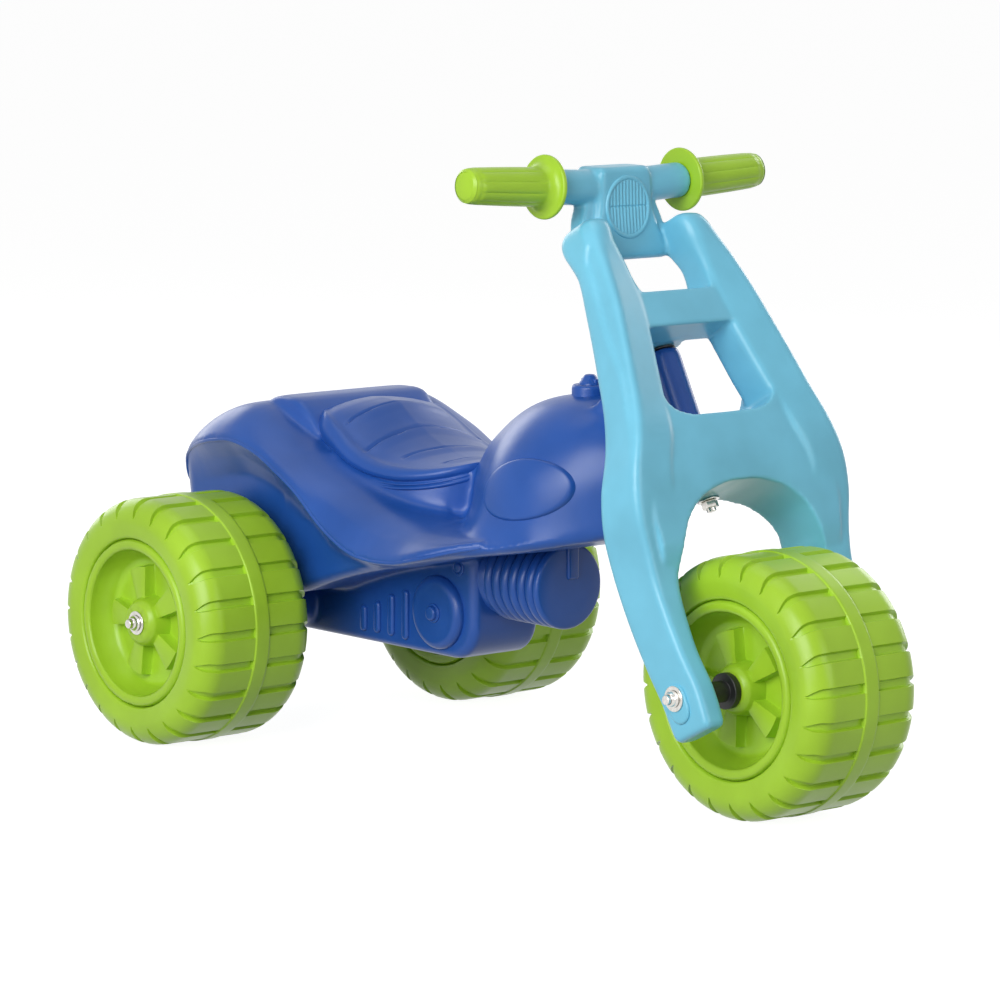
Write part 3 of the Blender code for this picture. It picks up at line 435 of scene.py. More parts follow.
def moulded(name, colour, roughness):
    """Blow-moulded polyethylene: faint clouding, a fine eggshell grain, slow ripples and a few scuffs."""
    skin = Finish(name)
    cloud = skin.ramp(skin.noise(16.0, detail=3.0), low=0.32, high=0.68)
    clouded = skin.mix(cloud, shade(colour, gain=0.90), shade(colour, gain=1.05, plus=0.004))
    scuffs = skin.noise(
        1.0, detail=4.0, roughness=0.6, place=skin.stretched((260.0, 46.0, 90.0), turn=(0.4, 0.3, 0.9)))
    patches = skin.ramp(skin.noise(22.0, detail=1.0), low=0.52, high=0.66)
    worn = skin.ramp(scuffs, low=0.71, high=0.80) * patches
    rippled = skin.bump(skin.noise(30.0, detail=1.0), strength=0.12, distance=0.0012)
    return skin.finish(
        Base_Color=skin.mix(worn * 0.16, clouded, shade(colour, gain=1.4, plus=0.06)),
        Roughness=roughness + 0.07 * (skin.noise(120.0) - 0.5) + worn * 0.12,
        Normal=skin.bump(skin.noise(1500.0), strength=0.16, distance=0.0002, below=rippled),
        IOR=1.5, Specular_IOR_Level=0.36)


def plated(name, colour, roughness):
    """Bright zinc-plated steel with fine drawing marks and faint clouding."""
    metal = Finish(name)
    marks = metal.noise(1.0, detail=3.0, roughness=0.6, place=metal.stretched((90.0, 2400.0, 2400.0)))
    cloud = metal.ramp(metal.noise(420.0), low=0.35, high=0.70)
    return metal.finish(
        Base_Color=metal.mix(cloud, shade(colour, gain=0.82), shade(colour)), Metallic=1.0,
        Roughness=roughness + 0.16 * (marks - 0.5), Normal=metal.bump(marks, strength=0.12, distance=0.0001))


def dark_moulded(name, colour, roughness):
    """Injection-moulded black plastic with a fine grain."""
    skin = Finish(name)
    grain = skin.noise(2200.0)
    cloud = skin.ramp(skin.noise(180.0), low=0.35, high=0.65)
    return skin.finish(
        Base_Color=skin.mix(cloud, shade(colour), shade(colour, gain=1.5, plus=0.002)),
        Roughness=roughness + 0.10 * (grain - 0.5), Normal=skin.bump(grain, strength=0.2, distance=0.0002))


finishes = {}


def finish(slot):
    """The material for a piece, with the name of its slot."""
    if slot not in finishes:
        looks = bpy.context.scene.trike_looks
        if slot == "steel":
            finishes[slot] = plated("plated_steel", looks.steel, looks.steel_roughness)
        elif slot == "black":
            finishes[slot] = dark_moulded("black_plastic", looks.black, looks.black_roughness)
        else:
            finishes[slot] = moulded(slot + "_skin", getattr(looks, slot), looks.plastic_roughness)
    return finishes[slot], slot


# The body, in stations measured forward from the rear axle

def from_hip(distance):
    return HIP - distance


# Distance, lip half width, lip height, deck height, bottom height
DECK = [
    (-0.1015, 0.0890, 0.2110, 0.2200, 0.2040),
    (-0.1005, 0.0940, 0.2190, 0.2330, 0.1985),
    (-0.0980, 0.0980, 0.2290, 0.2435, 0.1920),
    (-0.0930, 0.1020, 0.2375, 0.2530, 0.1840),
    (-0.0840, 0.1065, 0.2440, 0.2625, 0.1730),
    (-0.0680, 0.1140, 0.2505, 0.2740, 0.1550),
    (-0.0430, 0.1240, 0.2575, 0.2860, 0.1385),
    (-0.0200, 0.1275, 0.2620, 0.2930, 0.1330),
    (0.0050, 0.1285, 0.2640, 0.2935, 0.1300),
    (0.0400, 0.1285, 0.2560, 0.2780, 0.1290),
    (0.0680, 0.1285, 0.2425, 0.2630, 0.1330),
    (0.0960, 0.1285, 0.2270, 0.2490, 0.1430),
    (0.1350, 0.1290, 0.1990, 0.2340, 0.1550),
    (0.1760, 0.1300, 0.1820, 0.2205, 0.1650),
    (0.2260, 0.1305, 0.1805, 0.2105, 0.1750),
    (0.2620, 0.1280, 0.1880, 0.2080, 0.1837),
    (0.2890, 0.1150, 0.1957, 0.2080, 0.1895),
    (0.3110, 0.1000, 0.2010, 0.2100, 0.1955),
]
CARRIER_HALF = 0.1000


def deck_section(row):
    """The rounded deck over the fenders' lip, and the narrower wall under it."""
    distance, half, lip, top, bottom = row
    drop = top - lip
    wall = min(CARRIER_HALF, half - 0.006)
    shoulder = min(0.080, half * 0.75)
    reach = half - shoulder
    under = lip - 0.004 - min(0.030, (lip - bottom) * 0.5)
    upper = curved([
        (0.0, top), (shoulder * 0.55, top), (shoulder, top - drop * 0.02),
        (shoulder + reach * 0.40, top - drop * 0.14), (shoulder + reach * 0.75, top - drop * 0.45),
        (half - 0.002, lip + 0.006), (half, lip + 0.001)], 3)
    lower = [
        (half - 0.002, lip - 0.002), (wall + (half - wall) * 0.45, lip - 0.002 - (lip - under) * 0.42),
        (wall + 0.001, under), (wall, (under + bottom) / 2), (wall, bottom + 0.006), (wall - 0.006, bottom),
        (wall * 0.6, bottom), (wall * 0.3, bottom), (0.0, bottom)]
    return mirrored_ring([tuple(p) for p in upper] + lower, distance)


# Distance, flank half width and height, lower edge half width and height, top height, fall-off
TANK = [
    (0.2130, 0.015, 0.250, 0.032, 0.2060, 0.2630, 1.5),
    (0.2220, 0.028, 0.247, 0.046, 0.2050, 0.2780, 1.7),
    (0.2370, 0.041, 0.244, 0.062, 0.2030, 0.2900, 1.8),
    (0.2600, 0.059, 0.240, 0.094, 0.1985, 0.3052, 1.8),
    (0.2860, 0.076, 0.237, 0.1120, 0.1960, 0.3175, 1.5),
    (0.3140, 0.082, 0.237, 0.0990, 0.2000, 0.3250, 1.1),
    (0.3450, 0.080, 0.239, 0.0880, 0.2055, 0.3275, 1.0),
    (0.3700, 0.071, 0.241, 0.0740, 0.2110, 0.3245, 1.0),
    (0.3900, 0.059, 0.243, 0.0605, 0.2160, 0.3180, 1.0),
    (0.4080, 0.043, 0.246, 0.0440, 0.2210, 0.3070, 1.0),
    (0.4220, 0.026, 0.250, 0.0270, 0.2290, 0.2930, 1.0),
    (0.4290, 0.009, 0.254, 0.0100, 0.2420, 0.2760, 1.0),
]


def tank_section(row):
    """The tank's rounded back and flank, which flares out at its foot."""
    distance, side, middle, half, low, top, fall_off = row
    points = []
    steps = 12
    for step in range(steps + 1):
        angle = math.pi / 2 * step / steps
        height = middle + (top - middle) * math.cos(angle) ** fall_off
        points.append((side * math.sin(angle) ** 0.95, height))
    flare, fall = half - side, middle - low
    foot = curved([
        points[-1], (side + flare * 0.22, low + fall * 0.45), (side + flare * 0.60, low + fall * 0.14),
        (half, low)], 3)
    points += [tuple(p) for p in foot[1:]]
    points += [(half * 0.94, low - 0.006), (half * 0.5, low - 0.008), (0.0, low - 0.008)]
    return mirrored_ring(points, distance)


# The hump behind the seat: distance, half width, top height
HUMP = [
    (-0.0130, 0.0730, 0.2870), (-0.0120, 0.0742, 0.2905), (-0.0095, 0.0755, 0.2948),
    (-0.0060, 0.0762, 0.2975), (0.0000, 0.0765, 0.2995), (0.0100, 0.0765, 0.3005),
    (0.0350, 0.0760, 0.2980), (0.0620, 0.0730, 0.2740),
]


def hump_section(row):
    """A flat top with rounded shoulders, on walls that run down into the deck."""
    distance, half, top = row
    foot = 0.22
    points = curved(
        [(0.0, top), (half * 0.5, top), (half - 0.008, top - 0.0005), (half - 0.0015, top - 0.003)], 3)
    points = [tuple(p) for p in points] + [(half, top - 0.010), (half, foot), (0.0, foot)]
    return mirrored_ring(points, distance)


# The seat: distance, rim half width, height under the rim, top of the rim, middle height
SEAT = [
    (0.0400, 0.040, 0.2700, 0.2880, 0.2950),
    (0.0440, 0.056, 0.2680, 0.2890, 0.2975),
    (0.0530, 0.066, 0.2660, 0.2890, 0.2985),
    (0.0660, 0.073, 0.2640, 0.2860, 0.2985),
    (0.0860, 0.0765, 0.2570, 0.2760, 0.2950),
    (0.1080, 0.0780, 0.2480, 0.2640, 0.2810),
    (0.1350, 0.0765, 0.2420, 0.2545, 0.2680),
    (0.1600, 0.0720, 0.2400, 0.2515, 0.2600),
    (0.1850, 0.0630, 0.2420, 0.2515, 0.2560),
    (0.2050, 0.0500, 0.2460, 0.2540, 0.2565),
    (0.2180, 0.0330, 0.2510, 0.2575, 0.2590),
    (0.2240, 0.0150, 0.2540, 0.2595, 0.2605),
]


def seat_base_section(row):
    """The wall under the pad, which runs down into the deck."""
    distance, half, under, _, _ = row
    foot = 0.205
    points = [
        (0.0, under + 0.004), (half * 0.93, under + 0.004), (half * 0.945, under), (half * 0.93, foot),
        (0.0, foot)]
    return mirrored_ring(points, distance)


# Up the steering axis: rearward of it, half width, low and high
NECK = [
    (0.004, 0.0140, 0.2300, 0.2935), (0.025, 0.0150, 0.2285, 0.2930),
    (0.050, 0.0210, 0.2210, 0.2880), (0.082, 0.0340, 0.2060, 0.2740),
]
TUBE_LOW, TUBE_HIGH, TUBE_RADIUS, BUSH_BORE = 0.2262, 0.2975, 0.0165, 0.0100

# The engine's case: half width, front and rear forward of the rear axle, lower and upper edge
HULL_HALF, HULL_FRONT, HULL_REAR, HULL_LOW, HULL_TOP = 0.038, 0.233, -0.040, 0.085, 0.200
CHIN, HEEL = 0.030, 0.014
# Its sections across, as shares of the half width and how far each is drawn in
HULL_ENDS = (
    (-1.0, 0.010), (-0.985, 0.0055), (-0.94, 0.0025), (-0.87, 0.0),
    (0.87, 0.0), (0.94, 0.0025), (0.985, 0.0055), (1.0, 0.010))

BODY_CELL, BODY_ROUNDS = 0.0025, 2
# Where the body's skin is softened again: from and to, as distance, height and half width, and rounds
SOFT_REGIONS = (
    ((0.20, 1.0), (0.212, 1.0), (-1.0, 0.11), 10),
    ((0.05, 0.235), (0.200, 0.258), (0.045, 0.116), 50))


def hull_block():
    """The engine's case, with a well rounded chin in front and softer long edges."""
    path = [(HULL_REAR, HULL_TOP), (HULL_REAR, HULL_LOW + HEEL)]
    path += [(HULL_REAR + HEEL * (1 - math.cos(a)), HULL_LOW + HEEL * (1 - math.sin(a)))
             for a in (math.pi / 2 * i / 5 for i in range(1, 6))]
    path += [(HULL_FRONT - CHIN + CHIN * math.sin(a), HULL_LOW + CHIN * (1 - math.cos(a)))
             for a in (math.pi / 2 * i / 8 for i in range(9))]
    path += [(HULL_FRONT, HULL_TOP)]
    middle_y, middle_z = (HULL_FRONT + HULL_REAR) / 2, 0.150
    rings = []
    for share, inset in HULL_ENDS:
        ring = []
        for y, z in path:
            step = Vector((middle_y - y, middle_z - z))
            if z < HULL_TOP - 0.005:
                step = step.normalized() * inset
            else:
                step = Vector((math.copysign(inset, step.x), 0.0))
            ring.append((share * HULL_HALF, from_hip(y + step.x), z + step.y))
        rings.append(ring)
    return skin_over(rings)


def body_moulding():
    """Deck, fenders, tank, hump, seat base, case, axle carrier, neck and head tube in one skin."""
    across = Matrix.Translation(REAR_AXLE) @ facing(1)
    neck = skin_over([
        [(-half, back, low), (half, back, low), (half, back, high), (-half, back, high)]
        for back, half, low, high in eased(NECK, 3)])
    bmesh.ops.transform(neck, matrix=STEERING, verts=neck.verts)
    skin = one_skin([
        skin_over([deck_section(row) for row in eased(DECK, 4)]),
        skin_over([tank_section(row) for row in eased(TANK, 4)]),
        skin_over([hump_section(row) for row in eased(HUMP, 4)]),
        skin_over([seat_base_section(row) for row in eased(SEAT, 2)]),
        hull_block(),
        rod(0.0190, 2 * CARRIER_HALF, 48, across),
        block((2 * CARRIER_HALF - 0.018, 0.024, 0.060), REAR_AXLE + Vector((0, 0, 0.032))),
        rod(TUBE_RADIUS, TUBE_HIGH - TUBE_LOW, 48, STEERING @ lift((TUBE_HIGH + TUBE_LOW) / 2)),
        neck], BODY_CELL, BODY_ROUNDS)
    for (near, far), (low, high), (inner, outer), rounds in SOFT_REGIONS:
        chosen = [
            vert for vert in skin.verts
            if near < HIP - vert.co.y < far and low < vert.co.z < high and inner < abs(vert.co.x) < outer]
        soften(skin, chosen, rounds)
    return cut(skin, rod(BUSH_BORE, 0.30, 40, STEERING @ lift(0.262)), rod(BORE, 0.26, 32, across))


def lip_bead():
    """The bead along the fenders' lip, where the halves of the mould met."""
    path = [Vector((half, from_hip(distance), lip)) for distance, half, lip, _, _ in eased(DECK, 6)]
    radius, sunk, corners = 0.0017, 0.0014, 10
    loops = []
    for side, _ in SIDES:
        rings = []
        for index, here in enumerate(path):
            along = (path[min(index + 1, len(path) - 1)] - path[max(index - 1, 0)]).normalized()
            out = (Vector((1, 0, 0)) - along * along.x).normalized()
            up = along.cross(out)
            centre = here - out * sunk
            ring = []
            for corner in range(corners):
                angle = math.tau * corner / corners
                point = centre + (out * math.cos(angle) + up * math.sin(angle)) * radius
                ring.append((side * point.x, point.y, point.z))
            rings.append(ring)
        loops.append(skin_over(rings))
    return gathered(loops)


# Seat grooves: distance in the middle, distance at the end, half width
CHEVRONS = [
    (0.0800, 0.0818, 0.060), (0.1131, 0.1165, 0.070), (0.1494, 0.1475, 0.052), (0.1811, 0.1835, 0.036)]
PRESS, RISE = 0.0034, 0.0014
# The two beads of the ledge under the rim: share of the half width, how far under the rim
LEDGE = [
    (0.950, 0.0002), (0.925, 0.0012), (0.928, 0.0022), (0.955, 0.0030), (0.957, 0.0038), (0.935, 0.0046),
    (0.945, 0.0054), (0.976, 0.0062), (0.980, 0.0072), (0.962, 0.0082), (0.935, 0.0088), (0.80, 0.0090),
    (0.0, 0.0090)]


def seat_pad():
    """The crowned pad with its rolled rim, the ledge under it and the pressed grooves."""
    rings = []
    for distance, half, under, rim, middle in eased(SEAT, 18):
        crown, roll = middle - rim, rim - under
        top = curved([
            (0.0, middle), (half * 0.22, middle - crown * 0.10), (half * 0.45, middle - crown * 0.30),
            (half * 0.68, middle - crown * 0.62), (half * 0.82, rim + crown * 0.10), (half * 0.91, rim),
            (half * 0.975, rim - roll * 0.26), (half, rim - roll * 0.60),
            (half * 0.985, under + roll * 0.10)], 5)
        ledge = [(half * share, under - drop) for share, drop in LEDGE]
        rings.append(mirrored_ring([tuple(p) for p in top] + ledge, distance))
    pad = skin_over(rings)
    for vert in pad.verts:
        if vert.normal.z < 0.35:
            continue
        distance, x = HIP - vert.co.y, abs(vert.co.x)
        for apex, end, reach in CHEVRONS:
            # Each groove is pressed in, with a low swell in front of it
            off = distance - (apex + (end - apex) * x / reach)
            fade = 1 - between(reach - 0.012, reach, x)
            press = PRESS * (1 - between(0.0004, 0.0024, abs(off - 0.0008))) * fade
            rise = RISE * (1 - between(0.0, 0.011, off - 0.0030)) * between(0.0020, 0.0034, off) * fade
            vert.co.z += rise - press
    return pad


# The knee panel's edge: share of its reach and height over the flank
PANEL_HEIGHTS = [
    (0.0, 0.0032), (0.3, 0.0032), (0.6, 0.0031), (0.78, 0.0030), (0.86, 0.0028), (0.905, 0.0027),
    (0.935, 0.0022), (0.960, 0.0012), (0.978, 0.0004), (0.992, -0.0002), (1.01, -0.0014)]


def knee_panel(surface, side):
    """The raised oval on the tank's flank, tilted up to the front."""
    length, height, tilt = 0.0510, 0.0270, math.radians(12)

    def outline(angle):
        along = angle - (math.pi - tilt if side > 0 else tilt)
        return length * height / math.hypot(height * math.cos(along), length * math.sin(along))

    centre = (side * 0.080, from_hip(0.3380), 0.2520)
    return relief(surface, centre, (side, 0, 0.18), outline, PANEL_HEIGHTS, 96)


# The engine

# Distance, middle's height and length of each louvre
LOUVRES = [
    (0.0836, 0.1059, 0.0234), (0.1024, 0.1092, 0.0286), (0.1217, 0.1135, 0.0374), (0.1412, 0.1160, 0.0444)]


def louvre(side, distance, middle, length):
    """An upright bar with round ends and a rounded face."""
    width, depth = 0.0086, 0.0070
    bm = bmesh.new()
    bmesh.ops.create_cube(bm, size=1.0)
    bmesh.ops.scale(bm, vec=(depth, width, length), verts=bm.verts)
    ends = [edge for edge in bm.edges if abs((edge.verts[0].co - edge.verts[1].co).x) > depth / 2]
    bevel(bm, ends, width * 0.495, 6)
    face = max(bm.faces, key=lambda f: side * f.normal.x)
    bevel(bm, face.edges, 0.0026, 5)
    bmesh.ops.translate(bm, vec=(side * (HULL_HALF - 0.0002), from_hip(distance), middle), verts=bm.verts)
    return bm


def on_case(side, distance, height):
    """A place on the side of the case, with Z outward."""
    return Matrix.Translation((side * HULL_HALF, from_hip(distance), height)) @ facing(side)


def engine_cover(side):
    """The round side cover with its domed rim and the stud in its middle."""
    radius = 0.0325
    place = on_case(side, 0.1865, 0.1240)
    disc = lathed([
        (radius - 0.006, -0.004, 0), (radius, -0.004, 0), (radius, 0.0045, 0.0035),
        (radius - 0.0055, 0.0078, 0.003), (radius - 0.012, 0.0072, 0.002), (0.0085, 0.0072, 0.0006),
        (0.0, 0.0072, 0)], 5, 72, place)
    stud = lathed([
        (0.0085, 0.0060, 0), (0.0085, 0.0086, 0.0008), (0.0066, 0.0086, 0.0005), (0.0062, 0.0124, 0.0020),
        (0.0, 0.0126, 0)], 5, 36, place)
    return gathered([disc, stud])


def case_ring(side):
    """The small ring boss over the cover."""
    return lathed([
        (0.0078, -0.003, 0), (0.0078, 0.0012, 0.0010), (0.0056, 0.0012, 0.0006), (0.0050, 0.0002, 0.0004),
        (0.0043, 0.0022, 0.0012), (0.0, 0.0028, 0)], 4, 32, on_case(side, 0.2110, 0.1665))


def barrel():
    """The finned barrel: round fins close together, a plain nose and a rib on the nose's upper half."""
    radius, pitch, fins, groove, steps = 0.0375, 0.0108, 6, 0.0060, 12
    sunk = 0.020
    front = 0.3143 - HULL_FRONT + sunk
    first = front - 0.0085 - fins * pitch
    last = first + fins * pitch
    profile = [(0.0, 0.0), (radius - 0.0035, 0.0), (radius - 0.0035, first - 0.003)]
    for fin in range(fins):
        start = first + fin * pitch
        for step in range(steps + 1):
            t = step / steps
            swell = math.sin(math.pi * t) ** 0.35 if 0 < t < 1 else 0.0
            profile.append((radius - groove * (1 - swell), start + pitch * t))
    profile += [(radius - 0.0015, last + 0.0010), (radius, last + 0.0026)]
    profile += rounded_profile([
        (radius, last + 0.003, 0), (radius, front - 0.001, 0.0035), (radius - 0.012, front, 0.004),
        (0.0, front, 0)], 5)
    forward = Matrix.Rotation(math.pi / 2, 4, "X")
    whole = turned(profile, 112, Matrix.Translation((0, from_hip(HULL_FRONT - sunk), 0.1585)) @ forward)
    rib = block((0.0125, 0.008, 0.030), (0.0025, from_hip(0.3128), 0.1795), 0.0025)
    return gathered([whole, rib])


def fuel_cap():
    """The tank's screw cap: a rimmed disc, a low domed knob and a bar across it."""
    y, z = from_hip(0.337), 0.3270
    place = Matrix.Translation((0, y, z))
    disc = lathed([
        (0.0130, -0.010, 0), (0.0155, -0.010, 0), (0.0155, 0.0074, 0.0022), (0.0120, 0.0088, 0.0020),
        (0.0100, 0.0080, 0.0010), (0.0, 0.0082, 0)], 5, 64, place)
    knob = lathed([
        (0.0098, 0.0070, 0), (0.0094, 0.0098, 0.0016), (0.0068, 0.0125, 0.0025), (0.0050, 0.0166, 0.0024),
        (0.0, 0.0172, 0)], 5, 48, place)
    bar = block((0.0050, 0.0190, 0.0060), (0, y, z + 0.0106), 0.0018)
    return gathered([disc, knob, bar])


# The fork, on the steering axis: X across, Y rearward, Z up the axis

def ahead(distance):
    return -distance - OFFSET


LEG_OUTER, LEG_INNER = 0.113, 0.0905
# Height, outer face, inner face, middle ahead of the axle's line, half depth, rounding of the
# outer corners and of the inner front corner, and how far the front face falls towards the inside
LEG = [
    (-0.0335, 0.1095, 0.0930, 0.0020, 0.0185, 0.0060, 0.0060, 0.0),
    (-0.0318, 0.1118, 0.0914, 0.0020, 0.0208, 0.0065, 0.0065, 0.0),
    (-0.0280, 0.1130, 0.0905, 0.0020, 0.0221, 0.0065, 0.0065, 0.0),
    (0.0000, 0.1130, 0.0905, 0.0015, 0.0235, 0.0065, 0.0065, 0.0),
    (0.0300, 0.1130, 0.0905, -0.0030, 0.0235, 0.0065, 0.0065, 0.0),
    (0.0600, 0.1130, 0.0885, -0.0056, 0.0240, 0.0065, 0.0065, 0.0),
    (0.0900, 0.1135, 0.0850, -0.0060, 0.0245, 0.0070, 0.0070, 0.0),
    (0.1200, 0.1165, 0.0775, -0.0005, 0.0260, 0.0070, 0.0080, 0.0010),
    (0.1500, 0.1215, 0.0740, 0.0088, 0.0260, 0.0075, 0.0080, 0.0),
    (0.1800, 0.1200, 0.0750, 0.0186, 0.0255, 0.0085, 0.0080, 0.0008),
    (0.2100, 0.1113, 0.0660, 0.0260, 0.0240, 0.0085, 0.0060, 0.0040),
    (0.2400, 0.1040, 0.0595, 0.0280, 0.0220, 0.0085, 0.0055, 0.0070),
    (0.2700, 0.0973, 0.0533, 0.0270, 0.0215, 0.0075, 0.0055, 0.0078),
    (0.3000, 0.0907, 0.0470, 0.0255, 0.0210, 0.0075, 0.0055, 0.0078),
    (0.3300, 0.0845, 0.0425, 0.0235, 0.0205, 0.0080, 0.0060, 0.0080),
    (0.3600, 0.0792, 0.0420, 0.0203, 0.0187, 0.0090, 0.0080, 0.0060),
    (0.3760, 0.0764, 0.0420, 0.0152, 0.0203, 0.0105, 0.0110, 0.0040),
    (0.3880, 0.0740, 0.0420, 0.0105, 0.0225, 0.0120, 0.0140, 0.0020),
    (0.3990, 0.0712, 0.0408, 0.0085, 0.0225, 0.0130, 0.0145, 0.0),
    (0.4060, 0.0662, 0.0405, 0.0085, 0.0185, 0.0110, 0.0120, 0.0),
    (0.4095, 0.0590, 0.0430, 0.0085, 0.0120, 0.0070, 0.0072, 0.0),
]
# Rounding of the inner rear corner, how far the front's outer corner leans in, how much the leg is
# narrower beside the window, and how high the step at the parting line is
LEG_REAR_ROUND, LEG_LEAN, LEG_NARROWING, LEG_STEP = 0.0050, 0.0010, 0.0040, 0.0030

# Height, half width, front and rear ahead of the axle's line
WEB = [
    (0.0880, 0.0990, 0.0120, -0.0240), (0.1020, 0.1000, 0.0200, -0.0220), (0.1200, 0.1020, 0.0290, -0.0210),
    (0.1380, 0.1040, 0.0330, -0.0180), (0.1500, 0.1040, 0.0358, -0.0170), (0.1850, 0.1020, 0.0422, -0.0140),
    (0.2240, 0.0900, 0.0440, -0.0080), (0.2600, 0.0800, 0.0420, 0.0060), (0.3000, 0.0700, 0.0385, 0.0060),
    (0.3370, 0.0600, 0.0345, 0.0060), (0.3500, 0.0560, 0.0310, 0.0070),
]
# The arch over the wheel, as half width and height
ARCH_TOP = 0.1655
ARCH = [
    (0.0870, 0.050), (0.0870, 0.085), (0.0830, 0.102), (0.0770, 0.120), (0.0680, 0.138),
    (0.0580, 0.1485), (0.0440, 0.1575), (0.0250, 0.1635), (0.0120, ARCH_TOP), (0.0, ARCH_TOP)]
CROWN, BAR_LOW, BAR_REAR_LOW, BAR_HIGH, WEB_TOP = 0.2235, 0.3045, 0.3000, 0.3370, 0.3570
# The lower window's corners as half width, height and rounding
LOWER_WINDOW = [
    (0.0, CROWN, 0), (0.0360, CROWN + 0.0005, 0.0060), (0.0500, CROWN + 0.0040, 0.0050),
    (0.0585, CROWN + 0.0110, 0.0040), (0.0630, CROWN + 0.0240, 0.0050), (0.0540, BAR_LOW - 0.0050, 0.0020),
    (0.0500, BAR_LOW, 0.0030), (0.0, BAR_LOW, 0)]
UPPER_WINDOW = [
    (0.0, BAR_HIGH, 0), (0.0405, BAR_HIGH, 0.0040), (0.0415, WEB_TOP, 0), (0.0, WEB_TOP, 0)]
# The cross bar's eye for the bolt: low, high and radius; and where the bolt's hole starts
BOLT_EYE = (0.3000, 0.3355, 0.0210)
BOLT_HOLE_LOW = 0.1455
# The handlebar, forward of the rear axle, and where the guards on it start
HANDLEBAR_HEIGHT, HANDLEBAR_AHEAD, HANDLEBAR_RADIUS = 0.5076, 0.3643, 0.0150
HANDLEBAR_LIFT = math.radians(3.0)
GUARD = 0.0758
FORK_CELL, FORK_ROUNDS = 0.00178, 3
# The axle pad's edge: how far it is drawn in and how far it stands out
PAD = 0.0025
PAD_EDGE = ((0.0, -0.004), (0.0, 0.0010), (0.0004, 0.0019), (0.0012, 0.0024), (0.0022, PAD))


def rounded_section(half_width, half_depth, radii, steps):
    """A section whose four corners are each rounded: outer rear, inner rear, inner front, outer front."""
    points = []
    for quarter, radius in enumerate(radii):
        across = (half_width - radius) * (1 if quarter in (0, 3) else -1)
        along = (half_depth - radius) * (1 if quarter in (0, 1) else -1)
        for step in range(steps + 1):
            angle = math.pi / 2 * (quarter + step / steps)
            points.append((across + radius * math.cos(angle), along + radius * math.sin(angle)))
    return points


def fork_leg(side):
    """A leg whose front face falls from a ridge on the outside towards the crown."""
    rings = []
    for height, outer, inner, middle, half_depth, round_outer, round_inner, fall in eased(LEG, 4):
        narrower = LEG_NARROWING * between(0.215, 0.265, height) * (1 - between(0.330, 0.370, height))
        front, rear = middle + half_depth, middle - half_depth
        lean = LEG_LEAN * between(0.14, 0.20, height)
        rear_round = max(round_outer, 0.0105 * between(0.13, 0.20, height))
        # The mould's parting line: a low step down the outside, nearer the middle higher up
        depth = front - rear
        along = 1 - 0.50 * between(0.205, 0.330, height) * (1 - between(0.365, 0.402, height))
        line = rear + min(depth * along, depth - 0.010)
        step = LEG_STEP * between(0.19, 0.25, height) * (1 - between(0.400, 0.409, height))
        section = rounded_loop([
            (outer, ahead(rear), rear_round), (inner - narrower, ahead(rear), LEG_REAR_ROUND),
            (inner, ahead(front - fall), round_inner),
            (outer - step - lean, ahead(front), round_outer * 0.85),
            (outer - step, ahead(line + 0.0022), 0.0008), (outer, ahead(line), 0.0008)], 7)
        rings.append([(side * x, y, height) for x, y in section])
    return skin_over(rings)


def opening(corners, low, high):
    """A cutter for an opening from its half outline, which starts or ends on the middle line."""
    points = rounded_profile(corners, 6)
    other = [(-x, z) for x, z in reversed(points) if x > 1e-9]
    return skin_over([[(x, y, z) for x, z in points + other] for y in (low, high)])


def handlebar(side):
    """Where one half of the handlebar runs, with Z outward from the middle."""
    height = HANDLEBAR_HEIGHT - GUARD * math.tan(HANDLEBAR_LIFT)
    return Matrix.Translation((0, from_hip(HANDLEBAR_AHEAD), height)) @ Matrix.Rotation(
        side * (math.pi / 2 - HANDLEBAR_LIFT), 4, "Y")


# The lamp block from the top down: height, half width, front and back behind the front axle
HEAD = [
    (0.5225, 0.0265, 0.1925, 0.2185), (0.5212, 0.0276, 0.1905, 0.2200), (0.5186, 0.0285, 0.1882, 0.2220),
    (0.4897, 0.0305, 0.1870, 0.2190), (0.4702, 0.0360, 0.1850, 0.2090), (0.4560, 0.0415, 0.1825, 0.2020),
    (0.4500, 0.0430, 0.1820, 0.2010), (0.4462, 0.0428, 0.1832, 0.2000), (0.4445, 0.0415, 0.1862, 0.1980)]
# The plate behind it: height, half width and middle
PLATE = [
    (0.5100, 0.0340, 0.2070), (0.4920, 0.0400, 0.2030), (0.4780, 0.0460, 0.2010), (0.4550, 0.0500, 0.1970)]


def head_solids():
    """The lamp block and the plate behind it."""
    head = []
    for height, half, front, back in eased(HEAD[::-1], 3):
        section = rounded_section(half, (back - front) / 2, [0.0042] * 4, 4)
        head.append([(x, (front + back) / 2 - HIP + y, height) for x, y in section])
    plate = []
    for height, half, distance in PLATE:
        section = rounded_section(half, 0.009, [0.004] * 4, 3)
        plate.append([(x, distance - HIP + y, height) for x, y in section])
    return [skin_over(head), skin_over(plate)]


